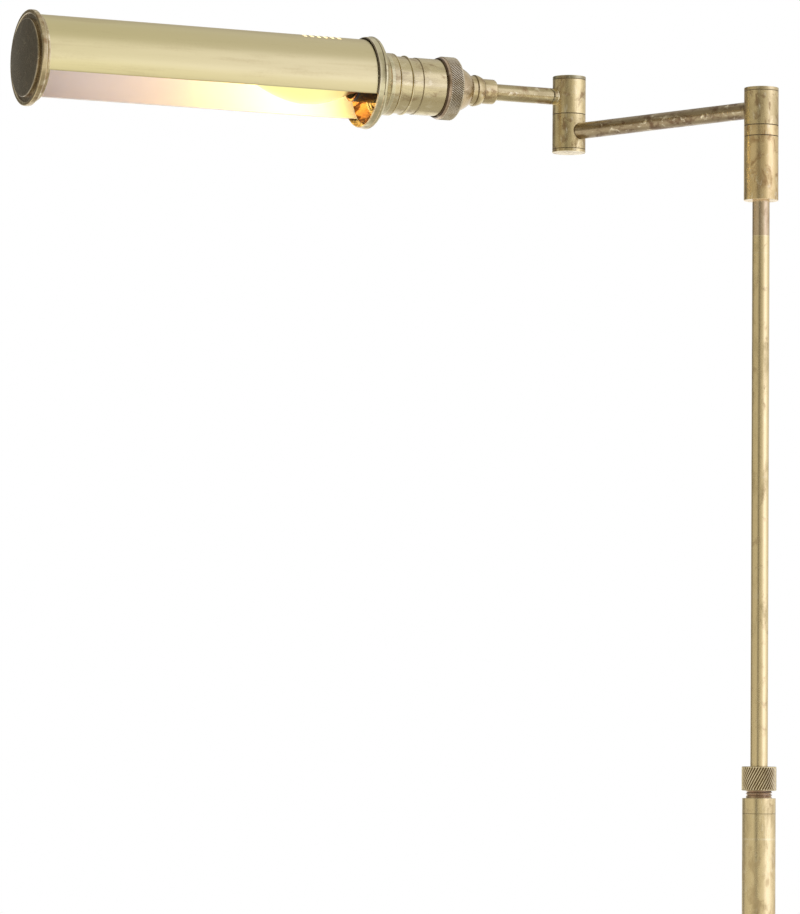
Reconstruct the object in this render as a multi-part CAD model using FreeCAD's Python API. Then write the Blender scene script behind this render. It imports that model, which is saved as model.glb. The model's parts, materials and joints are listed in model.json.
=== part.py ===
import FreeCAD, Part
import math
import os

# Bridge floor lamp in aged brass. Millimetres, +Z up, floor at z = 0, pole axis at x = y = 0.
# A point of an outline is (radius, height). Four numbers are an arc: its middle, then its end.

# ---- driving dimensions -------------------------------------------------------------------
# fits
running_clearance = 0.05
seam_chamfer = 0.35

# base
base_radius = 125.0
cover_wall = 1.2
cover_floor_gap = 1.0
skirt_height = 12.0
skirt_round = 6.0
step_radius = 103.0
step_height = 2.5
dome_rise = 5.5
seat_radius = 30.0
pad_thickness = 2.0
pad_margin = 6.0
weight_side_gap = 1.0
weight_recess_radius = 16.0
weight_recess_depth = 8.0
channel_width = 9.0
inlet_height = 7.5
inlet_hole_radius = 4.5
inlet_bore_radius = 3.2
inlet_flange_radius = 6.2
inlet_flange_thickness = 1.6
inlet_inner_length = 3.5
nipple_radius = 5.0
nipple_bore_radius = 3.5
nipple_foot_gap = 0.5
nipple_reach = 16.0
base_washer_radius = 14.0
base_washer_thickness = 1.5
nut_flats = 14.0
nut_height = 5.0
nut_edge_drop = 0.6
nut_edge_width = 1.0
foot_plug_height = 20.0
foot_collar_radius = 20.0
foot_collar_height = 13.0
foot_bead_round = 1.5
foot_bead_step = 0.8
foot_waist_wall = 2.0
foot_cove_wall = 2.9
foot_cove_height = 6.2
foot_lip_wall = 0.8
foot_lip_drop = 0.5

# lower tube and height clamp
tube_radius = 12.5
tube_wall = 1.5
tube_length = 588.0
top_collar_height = 11.5
spigot_length = 25.0
thread_radius = 9.5
thread_pitch = 1.5
thread_depth = 0.7
thread_root_share = 0.15
thread_flank_share = 0.30
thread_crest_share = 0.15
thread_gap = 5.6
thread_engagement = 14.0
clamp_nut_radius = 13.0
clamp_nut_height = 18.0
clamp_nut_chamfer = 0.8
clamp_nut_mouth_chamfer = 0.5
collet_wall = 1.4
collet_length = 16.0
collet_flange_radius = 9.2
collet_flange_thickness = 0.9
collet_flange_edge = 0.4
collet_slit = 1.0
collet_slit_count = 3
collet_slit_share = 0.7

# rod
rod_radius = 6.5
rod_wall = 1.5
rod_out = 425.0
rod_inside = 200.0
rod_socket_depth = 25.0
rod_guide_height = 15.0

# hub on the rod and elbow between the arms
barrel_radius = 13.0
cap_height = 2.8
cap_spigot_height = 1.6
hub_sleeve_height = 48.1
hub_ring_height = 7.8
hub_barrel_height = 25.8
elbow_barrel_height = 27.0
washer_thickness = 0.4
washer_inset = 0.5
counterbore_radius = 9.0
counterbore_depth = 9.4
counterbore_gap = 0.5
spindle_thread_depth = 12.0
spindle_proud = 1.0
elbow_pocket_depth = 6.4
elbow_thread_depth = 11.0
spring_washer_thickness = 1.0
spring_washer_dish = 0.3
spindle_nut_flats = 13.0
spindle_nut_height = 4.5
wire_hole_radius = 2.8
grub_radius = 2.0
grub_height = 12.0
grub_inset = 0.5
grub_slot_width = 0.8
grub_slot_depth = 1.0

# arms
arm_radius = 6.4
arm_wall = 1.2
arm_socket_depth = 3.8
arm_spacing = 200.0
lower_arm_heading = 134.3
upper_arm_heading = 204.7

# neck, bell and swivel, along the head's axis from the elbow's axis
neck_start = 66.0
neck_radius = 9.6
neck_corner = 1.6
neck_length = 22.0
neck_bead_radius = 12.2
neck_bead_length = 7.0
neck_bead_step = 0.9
neck_bead_slope = 0.7
neck_bead_middle = 3.6
neck_bead_edge = 0.5
neck_tail_radius = 11.4
neck_tail_length = 3.8
bell_length = 22.4
bell_flare_length = 14.4
bell_shoulder_radius = 19.2
bell_thread_radius = 21.5
bell_curve_share = 0.42
bell_curve_rise = 0.54
bell_wall = 1.5
bell_back = 2.0
swivel_washer_thickness = 0.6
swivel_nut_height = 5.0
swivel_nipple_proud = 1.5
ring_radius = 24.4
ring_length = 13.8
ring_lap = 0.3
ring_lip_length = 2.9
ring_lip_drop = 0.4
ring_lip_middle_drop = 0.7
ring_lip_fall = 1.4
ring_lip_share = 0.45
ring_groove = 0.2
ring_edge = 0.6

# lampholder casing
shell_radius = 22.0
shell_wall = 1.2
shell_rear_length = 24.6
shell_waist_radius = 21.5
shell_waist_length = 7.8
shell_bead_radius = 22.6
shell_bead_length = 2.0
shell_neck_radius = 22.0
shell_neck_length = 8.7
shell_front_bead_radius = 23.6
shell_front_radius = 24.0
shell_front_length = 6.5
shell_step = 0.3
shell_edge = 0.5
shell_groove = 0.8
shell_groove_place = 2.0
shell_groove_half = 0.3
shell_flange_thickness = 1.5

# gallery cup
cup_wall = 0.9
cup_back_thickness = 1.2
cup_straight_length = 1.4
cup_flare_length = 11.0
cup_bead_radius = 35.7
cup_bead_length = 3.0
cup_back_lip = 0.3
cup_curve_out = 4.9
cup_curve_share = 0.58
cup_bead_rise = 0.9
cup_bead_slope = 0.7
cup_inner_out = 2.3
cup_inner_share = 0.4
cup_inner_foot = 1.5
cup_seat_lap = 0.3
cup_rim_radius = 35.3
cup_rim_front_radius = 34.9
cup_rim_length = 4.7

# shade
shade_radius = 32.9
shade_wall = 0.8
shade_length = 276.2
shade_seat_depth = 12.3
opening_near_angle = -22.0
opening_far_angle = -128.7
vent_count = 6
vent_width = 2.5
vent_pitch = 5.62
vent_first = 30.5
vent_half_span = 38.0

# end cap of the shade
cap_bead_radius = 36.0
cap_bead_width = 4.2
cap_bead_round = 0.9
cap_bead_step = 0.4
cap_bead_slope = 0.5
cap_face_out = 3.15
cap_fall = 2.8
cap_fall_out = 0.7
cap_fall_share = 0.7
cap_recess_out = 0.4
cap_recess_in = 0.2
cap_recess = 1.0
cap_disc_radius = 29.4
cap_disc_rise = 2.9
cap_disc_round = 0.8
cap_plate = 1.2
cap_skirt_depth = 5.0

# lampholder and bulb
holder_radius = 13.2
holder_rear_length = 15.0
holder_front_length = 13.5
holder_flange_radius = 16.0
holder_flange_thickness = 1.2
holder_rear_step = 2.0
terminal_hole_radius = 1.6
terminal_hole_depth = 7.0
terminal_spacing = 10.0
shade_ring_radius = 18.0
shade_ring_height = 4.3
shade_ring_notch_count = 12
shade_ring_notch_radius = 1.0
shade_ring_notch_out = 0.4
skirt_radius = 15.2
skirt_wall = 1.9
skirt_overlap = 7.0
skirt_reach = 27.0
skirt_edge = 0.5
contact_shell_radius = 8.0
contact_shell_wall = 0.6
contact_shell_length = 20.0
centre_contact_radius = 2.2
centre_contact_length = 3.0
bulb_cap_radius = 7.0
bulb_cap_length = 23.0
bulb_cap_taper = 2.0
bulb_cap_taper_length = 3.0
bulb_tip_radius = 3.0
bulb_tip_length = 2.0
bulb_tip_taper = 1.0
bulb_seat_depth = 3.0
bulb_neck_radius = 8.8
bulb_radius = 19.5
bulb_length = 93.0
bulb_glass_wall = 0.9

# ---- heights and places worked out from the driving dimensions ---------------------------------
skirt_top = cover_floor_gap + skirt_height + skirt_round
base_top = skirt_top + step_height + dome_rise
tube_top = base_top + tube_length
collar_top = tube_top + top_collar_height
clamp_nut_bottom = collar_top + thread_gap
clamp_nut_top = clamp_nut_bottom + clamp_nut_height
thread_top = clamp_nut_bottom + thread_engagement
rod_bottom = clamp_nut_top - rod_inside
hub_bottom = clamp_nut_top + rod_out
hub_sleeve_top = hub_bottom + hub_sleeve_height
hub_ring_bottom = hub_sleeve_top + washer_thickness
hub_ring_top = hub_ring_bottom + hub_ring_height
hub_barrel_bottom = hub_ring_top + washer_thickness
lower_arm_height = hub_barrel_bottom + hub_barrel_height / 2
elbow_lower_bottom = lower_arm_height - elbow_barrel_height / 2
elbow_lower_top = elbow_lower_bottom + elbow_barrel_height
elbow_upper_bottom = elbow_lower_top + washer_thickness
upper_arm_height = elbow_upper_bottom + elbow_barrel_height / 2

bell_start = neck_start + neck_length
bell_end = bell_start + bell_length
shell_start = bell_end + swivel_washer_thickness
waist_start = shell_start + shell_rear_length
bead_start = waist_start + shell_waist_length
shell_neck_start = bead_start + shell_bead_length
shell_front_start = shell_neck_start + shell_neck_length
cup_start = shell_front_start + shell_front_length
cup_bead_start = cup_start + cup_flare_length
cup_rim_start = cup_bead_start + cup_bead_length
cup_end = cup_rim_start + cup_rim_length
shade_start = cup_start + shade_seat_depth
shade_end = shade_start + shade_length

cover_inner_radius = base_radius - cover_wall
shade_bore = shade_radius - shade_wall
arm_end_radius = barrel_radius - arm_socket_depth
diagonal = math.sqrt(0.5)
origin = FreeCAD.Vector(0, 0, 0)
up = FreeCAD.Vector(0, 0, 1)


def turned(outline):
    """Solid of revolution about Z of a closed outline of (radius, height) points and arcs."""
    start = FreeCAD.Vector(outline[0][0], 0, outline[0][1])
    here = start
    edges = []
    for item in outline[1:]:
        there = FreeCAD.Vector(item[-2], 0, item[-1])
        if len(item) == 4:
            middle = FreeCAD.Vector(item[0], 0, item[1])
            edges.append(Part.Arc(here, middle, there).toShape())
        else:
            edges.append(Part.makeLine(here, there))
        here = there
    edges.append(Part.makeLine(here, start))
    return Part.Face(Part.Wire(edges)).revolve(origin, up, 360)


def ring(inner, outer, low, high):
    """Flat-ended ring between two radii and two heights."""
    return turned([(inner, low), (outer, low), (outer, high), (inner, high)])


def rod_between(radius, low, high, axis=up, base=origin):
    """Solid cylinder along an axis from one distance to another."""
    return Part.makeCylinder(radius, high - low, base + axis * low, axis)


def hexagon(flats, bore, low, high):
    """Hexagonal nut round the Z axis with a round bore and its upper corners turned off."""
    corner = flats / 2 / math.cos(math.pi / 6)
    points = []
    for k in range(7):
        turn = math.pi / 3 * k
        points.append(FreeCAD.Vector(corner * math.cos(turn), corner * math.sin(turn), low))
    prism = Part.Face(Part.makePolygon(points)).extrude(up * (high - low))
    dome = turned([
        (0, low),
        (corner, low),
        (corner, high - nut_edge_drop),
        (corner - nut_edge_width, high),
        (0, high)])
    return prism.common(dome).cut(rod_between(bore, low - 1, high + 1))


def heading(degrees):
    """Level unit vector at an angle from +X."""
    turn = math.radians(degrees)
    return FreeCAD.Vector(math.cos(turn), math.sin(turn), 0)


def level_frame(base, degrees):
    """Placement that lays local Z along a level heading, with local Y up."""
    out = heading(degrees)
    side = up.cross(out)
    return FreeCAD.Placement(FreeCAD.Matrix(
        side.x, up.x, out.x, base.x,
        side.y, up.y, out.y, base.y,
        side.z, up.z, out.z, base.z,
        0, 0, 0, 1))


def placed(shape, placement):
    """The shape moved from its local frame to the lamp's frame."""
    moved = shape.copy()
    moved.Placement = placement.multiply(moved.Placement)
    return moved


# ---- base -----------------------------------------------------------------------------------

def cover_outline(inset):
    """Points of the cover's upper side, drawn in by an inset."""
    round_centre = base_radius - skirt_round
    round_radius = skirt_round - inset
    corner = round_radius * diagonal
    spring = skirt_top - skirt_round
    return [
        (base_radius - inset, cover_floor_gap),
        (base_radius - inset, spring),
        (round_centre + corner, spring + corner, round_centre, skirt_top - inset),
        (step_radius - inset, skirt_top - inset),
        (step_radius - inset, skirt_top + step_height - inset),
        (seat_radius, base_top - inset),
    ]


def base_cover():
    outside = turned(cover_outline(0) + [(0, base_top), (0, cover_floor_gap)])
    inside = turned(cover_outline(cover_wall) + [(0, base_top - cover_wall), (0, cover_floor_gap)])
    shell = outside.cut(inside).cut(rod_between(nipple_radius, 0, base_top + 1))
    inlet = FreeCAD.Vector(0, 0, inlet_height)
    return shell.cut(rod_between(inlet_hole_radius, seat_radius, base_radius + 5, heading(90), inlet))


def base_weight():
    side = cover_inner_radius - weight_side_gap
    flat = skirt_top - cover_wall
    body = turned([
        (0, pad_thickness),
        (side, pad_thickness),
        (side, skirt_top - skirt_round),
        (base_radius - skirt_round, flat),
        (seat_radius, flat),
        (seat_radius, base_top - cover_wall),
        (0, base_top - cover_wall)])
    recess_top = pad_thickness + weight_recess_depth
    body = body.cut(rod_between(weight_recess_radius, 0, recess_top))
    body = body.cut(rod_between(nipple_radius, 0, base_top + 1))
    channel = Part.makeBox(
        channel_width, base_radius, inlet_height + channel_width / 2,
        FreeCAD.Vector(-channel_width / 2, 0, 0))
    return body.cut(channel)


def base_pad():
    return rod_between(base_radius - pad_margin, 0, pad_thickness)


def cord_inlet_bush():
    face = base_radius
    inner = face - cover_wall - inlet_inner_length
    outer = face + inlet_flange_thickness
    rounding = inlet_flange_thickness / 2
    bush = turned([
        (inlet_bore_radius, inner),
        (inlet_hole_radius, inner),
        (inlet_hole_radius, face - rounding),
        (inlet_flange_radius, face - rounding),
        (inlet_flange_radius, outer - rounding),
        (inlet_flange_radius - rounding, outer),
        (inlet_bore_radius, outer)])
    frame = level_frame(FreeCAD.Vector(0, 0, inlet_height), 90)
    return placed(bush, frame).cut(base_cover())


def base_washer():
    low = pad_thickness + weight_recess_depth - base_washer_thickness
    return ring(nipple_radius, base_washer_radius, low, low + base_washer_thickness)


def base_nut():
    high = pad_thickness + weight_recess_depth - base_washer_thickness
    return hexagon(nut_flats, nipple_radius, high - nut_height, high)


def base_nipple():
    low = pad_thickness + nipple_foot_gap
    return ring(nipple_bore_radius, nipple_radius, low, base_top + nipple_reach)


def foot_plug():
    return ring(nipple_radius, tube_radius - tube_wall, base_top, base_top + foot_plug_height)


def foot_collar():
    low = base_top
    high = base_top + foot_collar_height
    bead = foot_collar_radius - foot_bead_round
    bead_top = low + 2 * foot_bead_round
    waist = tube_radius + foot_waist_wall
    lip = high - foot_lip_drop
    return turned([
        (tube_radius, low),
        (bead, low),
        (foot_collar_radius, low + foot_bead_round, bead, bead_top),
        (bead - foot_bead_step, bead_top),
        (tube_radius + foot_cove_wall, low + foot_cove_height, waist, high - foot_waist_wall),
        (waist, lip),
        (tube_radius + foot_lip_wall, high),
        (tube_radius, high)])


# ---- lower tube and height clamp -----------------------------------------------------------------

def lower_tube():
    return ring(tube_radius - tube_wall, tube_radius, base_top, tube_top)


def thread_outline(low, high):
    """Ridged outer side of a thread, from its low end to its high end."""
    root = thread_radius - thread_depth
    flank = thread_flank_share * thread_pitch
    points = []
    for k in range(int((high - low) / thread_pitch)):
        foot = low + (k + thread_root_share) * thread_pitch
        crest = foot + flank
        crest_end = crest + thread_crest_share * thread_pitch
        points.append((root, foot))
        points.append((thread_radius, crest))
        points.append((thread_radius, crest_end))
        points.append((root, crest_end + flank))
    points.append((root, high))
    return points


def top_collar():
    low = tube_top - spigot_length
    guide = rod_radius + running_clearance
    pocket = guide + collet_wall + running_clearance
    pocket_low = thread_top - collet_length
    outline = [
        (guide, low),
        (tube_radius - tube_wall, low),
        (tube_radius - tube_wall, tube_top),
        (tube_radius - seam_chamfer, tube_top),
        (tube_radius, tube_top + seam_chamfer),
        (tube_radius, collar_top - seam_chamfer),
        (tube_radius - seam_chamfer, collar_top),
        (thread_radius - thread_depth, collar_top)]
    outline += thread_outline(collar_top, thread_top)
    outline += [(pocket, thread_top), (pocket, pocket_low), (guide, pocket_low)]
    return turned(outline)


def clamp_collet():
    bore = rod_radius + running_clearance
    outside = bore + collet_wall
    low = thread_top - collet_length + running_clearance
    flange_low = thread_top + running_clearance
    flange_high = flange_low + collet_flange_thickness
    body = turned([
        (bore, low),
        (outside, low),
        (outside, flange_low),
        (collet_flange_radius, flange_low),
        (collet_flange_radius - collet_flange_edge, flange_high),
        (bore, flange_high)])
    slit_height = collet_length * collet_slit_share
    for k in range(collet_slit_count):
        slit = Part.makeBox(
            collet_flange_radius, collet_slit, slit_height,
            FreeCAD.Vector(0, -collet_slit / 2, low - 1))
        slit.rotate(origin, up, 360 / collet_slit_count * k)
        body = body.cut(slit)
    return body


def clamp_nut():
    bore = thread_radius + running_clearance
    lip_low = thread_top + collet_flange_thickness + 2 * running_clearance
    mouth = rod_radius + 2 * running_clearance
    inner_edge = clamp_nut_radius - clamp_nut_chamfer
    return turned([
        (bore, clamp_nut_bottom),
        (inner_edge, clamp_nut_bottom),
        (clamp_nut_radius, clamp_nut_bottom + clamp_nut_chamfer),
        (clamp_nut_radius, clamp_nut_top - clamp_nut_chamfer),
        (inner_edge, clamp_nut_top),
        (mouth + clamp_nut_mouth_chamfer, clamp_nut_top),
        (mouth, clamp_nut_top - clamp_nut_mouth_chamfer),
        (mouth, lip_low),
        (bore, lip_low)])


# ---- rod and hub ----------------------------------------------------------------------------------

def rod():
    return ring(rod_radius - rod_wall, rod_radius, rod_bottom, hub_bottom + rod_socket_depth)


def rod_guide():
    outside = tube_radius - tube_wall - running_clearance
    return ring(rod_radius, outside, rod_bottom, rod_bottom + rod_guide_height)


def hub_sleeve():
    socket_top = hub_bottom + rod_socket_depth
    thread_low = hub_sleeve_top - spindle_thread_depth
    body = turned([
        (rod_radius, hub_bottom),
        (barrel_radius - seam_chamfer, hub_bottom),
        (barrel_radius, hub_bottom + seam_chamfer),
        (barrel_radius, hub_sleeve_top - seam_chamfer),
        (barrel_radius - seam_chamfer, hub_sleeve_top),
        (nipple_radius, hub_sleeve_top),
        (nipple_radius, thread_low),
        (nipple_bore_radius, thread_low),
        (nipple_bore_radius, socket_top),
        (rod_radius, socket_top)])
    return body.cut(grub_hole())


def grub_hole():
    """Radial hole at the back of the sleeve, from the rod's surface outwards."""
    base = FreeCAD.Vector(0, 0, hub_bottom + grub_height)
    return rod_between(grub_radius, rod_radius - rod_wall, barrel_radius + 1, heading(90), base)


def hub_grub_screw():
    head = barrel_radius - grub_inset
    base = FreeCAD.Vector(0, 0, hub_bottom + grub_height)
    screw = rod_between(grub_radius, rod_radius - rod_wall, head, heading(90), base)
    slot = Part.makeBox(
        2 * grub_radius, 2 * grub_slot_depth, grub_slot_width,
        FreeCAD.Vector(-grub_radius, head - grub_slot_depth, base.z - grub_slot_width / 2))
    return screw.cut(slot).cut(rod_between(rod_radius, hub_bottom, hub_sleeve_top))


def hub_lower_washer():
    return ring(nipple_radius, barrel_radius - washer_inset, hub_sleeve_top, hub_ring_bottom)


def hub_ring():
    return turned([
        (nipple_radius, hub_ring_bottom),
        (barrel_radius - seam_chamfer, hub_ring_bottom),
        (barrel_radius, hub_ring_bottom + seam_chamfer),
        (barrel_radius, hub_ring_top - seam_chamfer),
        (barrel_radius - seam_chamfer, hub_ring_top),
        (nipple_radius, hub_ring_top)])


def hub_upper_washer():
    return ring(nipple_radius, barrel_radius - washer_inset, hub_ring_top, hub_barrel_bottom)


def spindle(low, barrel_bottom, barrel_height, arm_height, arm_heading):
    """Hollow pivot pin from its threaded foot to just over its nut, with a window for the wires."""
    floor = barrel_bottom + barrel_height - counterbore_depth
    high = floor + spring_washer_thickness + spindle_nut_height + spindle_proud
    pin = ring(nipple_bore_radius, nipple_radius, low, high)
    base = FreeCAD.Vector(0, 0, arm_height)
    window = rod_between(wire_hole_radius, 0, nipple_radius + 1, heading(arm_heading), base)
    return pin.cut(window)


def spring_washer(barrel_bottom, barrel_height):
    floor = barrel_bottom + barrel_height - counterbore_depth
    outside = counterbore_radius - counterbore_gap
    return turned([
        (nipple_radius, floor + spring_washer_dish),
        (outside, floor),
        (outside, floor + spring_washer_thickness - spring_washer_dish),
        (nipple_radius, floor + spring_washer_thickness)])


def spindle_nut(barrel_bottom, barrel_height):
    low = barrel_bottom + barrel_height - counterbore_depth + spring_washer_thickness
    return hexagon(spindle_nut_flats, nipple_radius, low, low + spindle_nut_height)


def hub_spindle():
    return spindle(
        hub_sleeve_top - spindle_thread_depth, hub_barrel_bottom, hub_barrel_height,
        lower_arm_height, lower_arm_heading)


def turning_barrel(bottom, height, arm_height, arm_heading):
    """Barrel that turns on a spindle, with a nut pocket on top and an arm socket at its side."""
    top = bottom + height
    bore = nipple_radius + running_clearance
    body = turned([
        (bore, bottom),
        (barrel_radius - seam_chamfer, bottom),
        (barrel_radius, bottom + seam_chamfer),
        (barrel_radius, top - seam_chamfer),
        (barrel_radius - seam_chamfer, top),
        (counterbore_radius, top),
        (counterbore_radius, top - counterbore_depth),
        (bore, top - counterbore_depth)])
    return body.cut(arm_socket(arm_height, arm_heading))


def arm_socket(arm_height, arm_heading):
    """Side hole that takes an arm's end, with a smaller hole on for the wires."""
    base = FreeCAD.Vector(0, 0, arm_height)
    out = heading(arm_heading)
    socket = rod_between(arm_radius, arm_end_radius, barrel_radius + 2, out, base)
    return socket.fuse(rod_between(wire_hole_radius, 0, arm_end_radius + 1, out, base))


def barrel_cap(face, direction):
    """Round cap that closes a barrel's end; direction is 1 for a top and -1 for a bottom."""
    outer = face + direction * cap_height
    rim = barrel_radius - seam_chamfer
    chamfer = direction * seam_chamfer
    spigot = face - direction * cap_spigot_height
    return turned([
        (0, spigot),
        (counterbore_radius, spigot),
        (counterbore_radius, face),
        (rim, face),
        (barrel_radius, face + chamfer),
        (barrel_radius, outer - chamfer),
        (rim, outer),
        (0, outer)])


def hub_cap():
    return barrel_cap(hub_barrel_bottom + hub_barrel_height, 1)


# ---- lower arm and elbow --------------------------------------------------------------------------

def lower_arm_tube():
    outline = ring(arm_radius - arm_wall, arm_radius, arm_end_radius, arm_spacing - arm_end_radius)
    frame = level_frame(FreeCAD.Vector(0, 0, lower_arm_height), lower_arm_heading)
    return placed(outline, frame)


def at_elbow(shape):
    """A piece drawn about the pole's axis, moved to the elbow's axis."""
    step = heading(lower_arm_heading) * arm_spacing
    return placed(shape, FreeCAD.Placement(step, FreeCAD.Rotation()))


def elbow_lower_barrel():
    top = elbow_lower_top
    bottom = elbow_lower_bottom
    pocket = bottom + elbow_pocket_depth
    body = turned([
        (counterbore_radius, bottom),
        (barrel_radius - seam_chamfer, bottom),
        (barrel_radius, bottom + seam_chamfer),
        (barrel_radius, top - seam_chamfer),
        (barrel_radius - seam_chamfer, top),
        (nipple_radius, top),
        (nipple_radius, pocket),
        (counterbore_radius, pocket)])
    return at_elbow(body.cut(arm_socket(lower_arm_height, lower_arm_heading + 180)))


def elbow_bottom_cap():
    return at_elbow(barrel_cap(elbow_lower_bottom, -1))


def elbow_washer():
    disc = ring(nipple_radius, barrel_radius - washer_inset, elbow_lower_top, elbow_upper_bottom)
    return at_elbow(disc)


def elbow_spindle():
    return at_elbow(spindle(
        elbow_lower_top - elbow_thread_depth, elbow_upper_bottom, elbow_barrel_height,
        upper_arm_height, upper_arm_heading))


def elbow_spring_washer():
    return at_elbow(spring_washer(elbow_upper_bottom, elbow_barrel_height))


def elbow_spindle_nut():
    return at_elbow(spindle_nut(elbow_upper_bottom, elbow_barrel_height))


def elbow_upper_barrel():
    return at_elbow(turning_barrel(
        elbow_upper_bottom, elbow_barrel_height, upper_arm_height, upper_arm_heading))


def elbow_top_cap():
    return at_elbow(barrel_cap(elbow_upper_bottom + elbow_barrel_height, 1))


# ---- upper arm, neck and bell: local Z runs along the head's axis --------------------------------

def on_head(shape):
    """A piece drawn along local Z from the elbow's axis, laid along the head's axis."""
    base = heading(lower_arm_heading) * arm_spacing + up * upper_arm_height
    return placed(shape, level_frame(base, upper_arm_heading))


def upper_arm_tube():
    end = bell_start - neck_tail_length
    return on_head(ring(arm_radius - arm_wall, arm_radius, arm_end_radius, end))


def neck_collar():
    bead_end = bell_start - neck_tail_length
    bead_low = bead_end - neck_bead_length
    corner = neck_corner * diagonal
    return on_head(turned([
        (arm_radius, neck_start),
        (neck_radius - neck_corner, neck_start),
        (neck_radius - neck_corner + corner, neck_start + neck_corner - corner,
         neck_radius, neck_start + neck_corner),
        (neck_radius, bead_low),
        (neck_radius + neck_bead_step, bead_low + neck_bead_slope),
        (neck_bead_radius - neck_bead_edge, bead_low + neck_bead_middle,
         neck_bead_radius, bead_end - neck_bead_edge),
        (neck_tail_radius, bead_end),
        (neck_tail_radius, bell_start),
        (nipple_radius, bell_start),
        (nipple_radius, bead_end),
        (arm_radius, bead_end)]))


def bell():
    flare_end = bell_start + bell_flare_length
    middle = bell_start + bell_curve_share * bell_flare_length
    middle_radius = neck_tail_radius + bell_curve_rise * (bell_shoulder_radius - neck_tail_radius)
    inner = bell_thread_radius - bell_wall
    back = bell_start + bell_back
    return on_head(turned([
        (nipple_radius, bell_start),
        (neck_tail_radius, bell_start),
        (middle_radius, middle, bell_shoulder_radius, flare_end),
        (bell_thread_radius, flare_end),
        (bell_thread_radius, bell_end),
        (inner, bell_end),
        (inner, flare_end + bell_wall),
        (bell_shoulder_radius - bell_wall, flare_end),
        (neck_tail_radius, back),
        (nipple_radius, back)]))


def swivel_nipple():
    return on_head(ring(
        nipple_bore_radius, nipple_radius, bell_start - neck_tail_length,
        shell_start + shell_wall + swivel_nut_height + swivel_nipple_proud))


def swivel_washer():
    return on_head(ring(
        bell_thread_radius - bell_wall, bell_thread_radius, bell_end, shell_start))


def swivel_nut():
    low = shell_start + shell_wall + running_clearance
    return on_head(hexagon(spindle_nut_flats, nipple_radius, low, low + swivel_nut_height))


def knurled_ring():
    start = bell_start + bell_flare_length - ring_lap
    end = start + ring_length
    lip = end - ring_lip_length
    rear_bore = bell_thread_radius + running_clearance
    front_bore = shell_radius + running_clearance
    edge = ring_radius - ring_lip_drop
    return on_head(turned([
        (rear_bore, start),
        (ring_radius - ring_edge, start),
        (ring_radius, start + ring_edge),
        (ring_radius, lip - ring_groove),
        (edge - ring_groove, lip),
        (edge, lip + ring_groove),
        (ring_radius - ring_lip_middle_drop, lip + ring_lip_share * ring_lip_length,
         ring_radius - ring_lip_fall, end),
        (front_bore, end),
        (front_bore, shell_start - running_clearance),
        (rear_bore, shell_start - running_clearance)]))


# ---- lampholder casing, gallery and shade --------------------------------------------------------

def holder_shell():
    groove = shell_front_start + shell_groove_place
    bore = shell_waist_radius - shell_wall
    flange_low = cup_start - shell_flange_thickness
    hole = nipple_radius + running_clearance
    bead_middle = bead_start + shell_bead_length / 2
    return on_head(turned([
        (hole, shell_start),
        (shell_radius, shell_start),
        (shell_radius, waist_start),
        (shell_waist_radius, waist_start + shell_step),
        (shell_waist_radius, bead_start),
        (shell_bead_radius, bead_middle, shell_neck_radius, shell_neck_start),
        (shell_neck_radius, shell_front_start),
        (shell_front_bead_radius - shell_edge, shell_front_start),
        (shell_front_bead_radius, shell_front_start + shell_edge),
        (shell_front_bead_radius, groove - shell_groove_half),
        (shell_front_radius - shell_groove, groove),
        (shell_front_radius, groove + shell_groove_half),
        (shell_front_radius, cup_start),
        (holder_radius, cup_start),
        (holder_radius, flange_low),
        (bore, flange_low),
        (bore, shell_start + shell_wall),
        (hole, shell_start + shell_wall)]))


def gallery_cup():
    back = cup_start + cup_back_thickness
    flare_radius = shell_front_radius + cup_back_lip
    rim_bore = cup_rim_front_radius - cup_wall
    return on_head(turned([
        (holder_radius, cup_start),
        (flare_radius, cup_start),
        (flare_radius, cup_start + cup_straight_length),
        (flare_radius + cup_curve_out, cup_start + cup_curve_share * cup_flare_length,
         cup_bead_radius - cup_bead_rise, cup_bead_start),
        (cup_bead_radius, cup_bead_start + cup_bead_slope),
        (cup_bead_radius, cup_rim_start - cup_bead_slope),
        (cup_rim_radius, cup_rim_start),
        (cup_rim_front_radius, cup_end),
        (rim_bore, cup_end),
        (rim_bore, shade_start),
        (shade_bore - cup_seat_lap, shade_start),
        (flare_radius + cup_inner_out, back + cup_inner_share * (shade_start - back),
         flare_radius - cup_inner_foot, back),
        (holder_radius, back)]))


def sector(radius, low, high, from_angle, to_angle):
    """Wedge of a cylinder between two angles, for cutting an opening."""
    wedge = Part.makeCylinder(radius, high - low, up * low, up, to_angle - from_angle)
    wedge.rotate(origin, up, from_angle)
    return wedge


def vent_slot(place, middle_angle):
    """Cutter for one round-ended cooling slot across the top of the shade."""
    low = place - vent_width / 2
    outer = shade_radius + 1
    start = middle_angle - vent_half_span
    end = middle_angle + vent_half_span
    cutter = sector(outer, low, low + vent_width, start, end)
    cutter = cutter.cut(rod_between(shade_bore - 1, low - 1, low + vent_width + 1))
    for angle in (start, end):
        base = up * place
        cutter = cutter.fuse(rod_between(vent_width / 2, shade_bore - 1, outer, heading(angle), base))
    return cutter


def shade_tube():
    body = ring(shade_bore, shade_radius, shade_start, shade_end)
    body = body.cut(sector(
        shade_radius + 2, shade_start - 1, shade_end + 1, opening_far_angle, opening_near_angle))
    top = (opening_near_angle + opening_far_angle) / 2 + 180
    for k in range(vent_count):
        body = body.cut(vent_slot(shade_start + vent_first + k * vent_pitch, top))
    return on_head(body)


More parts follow.
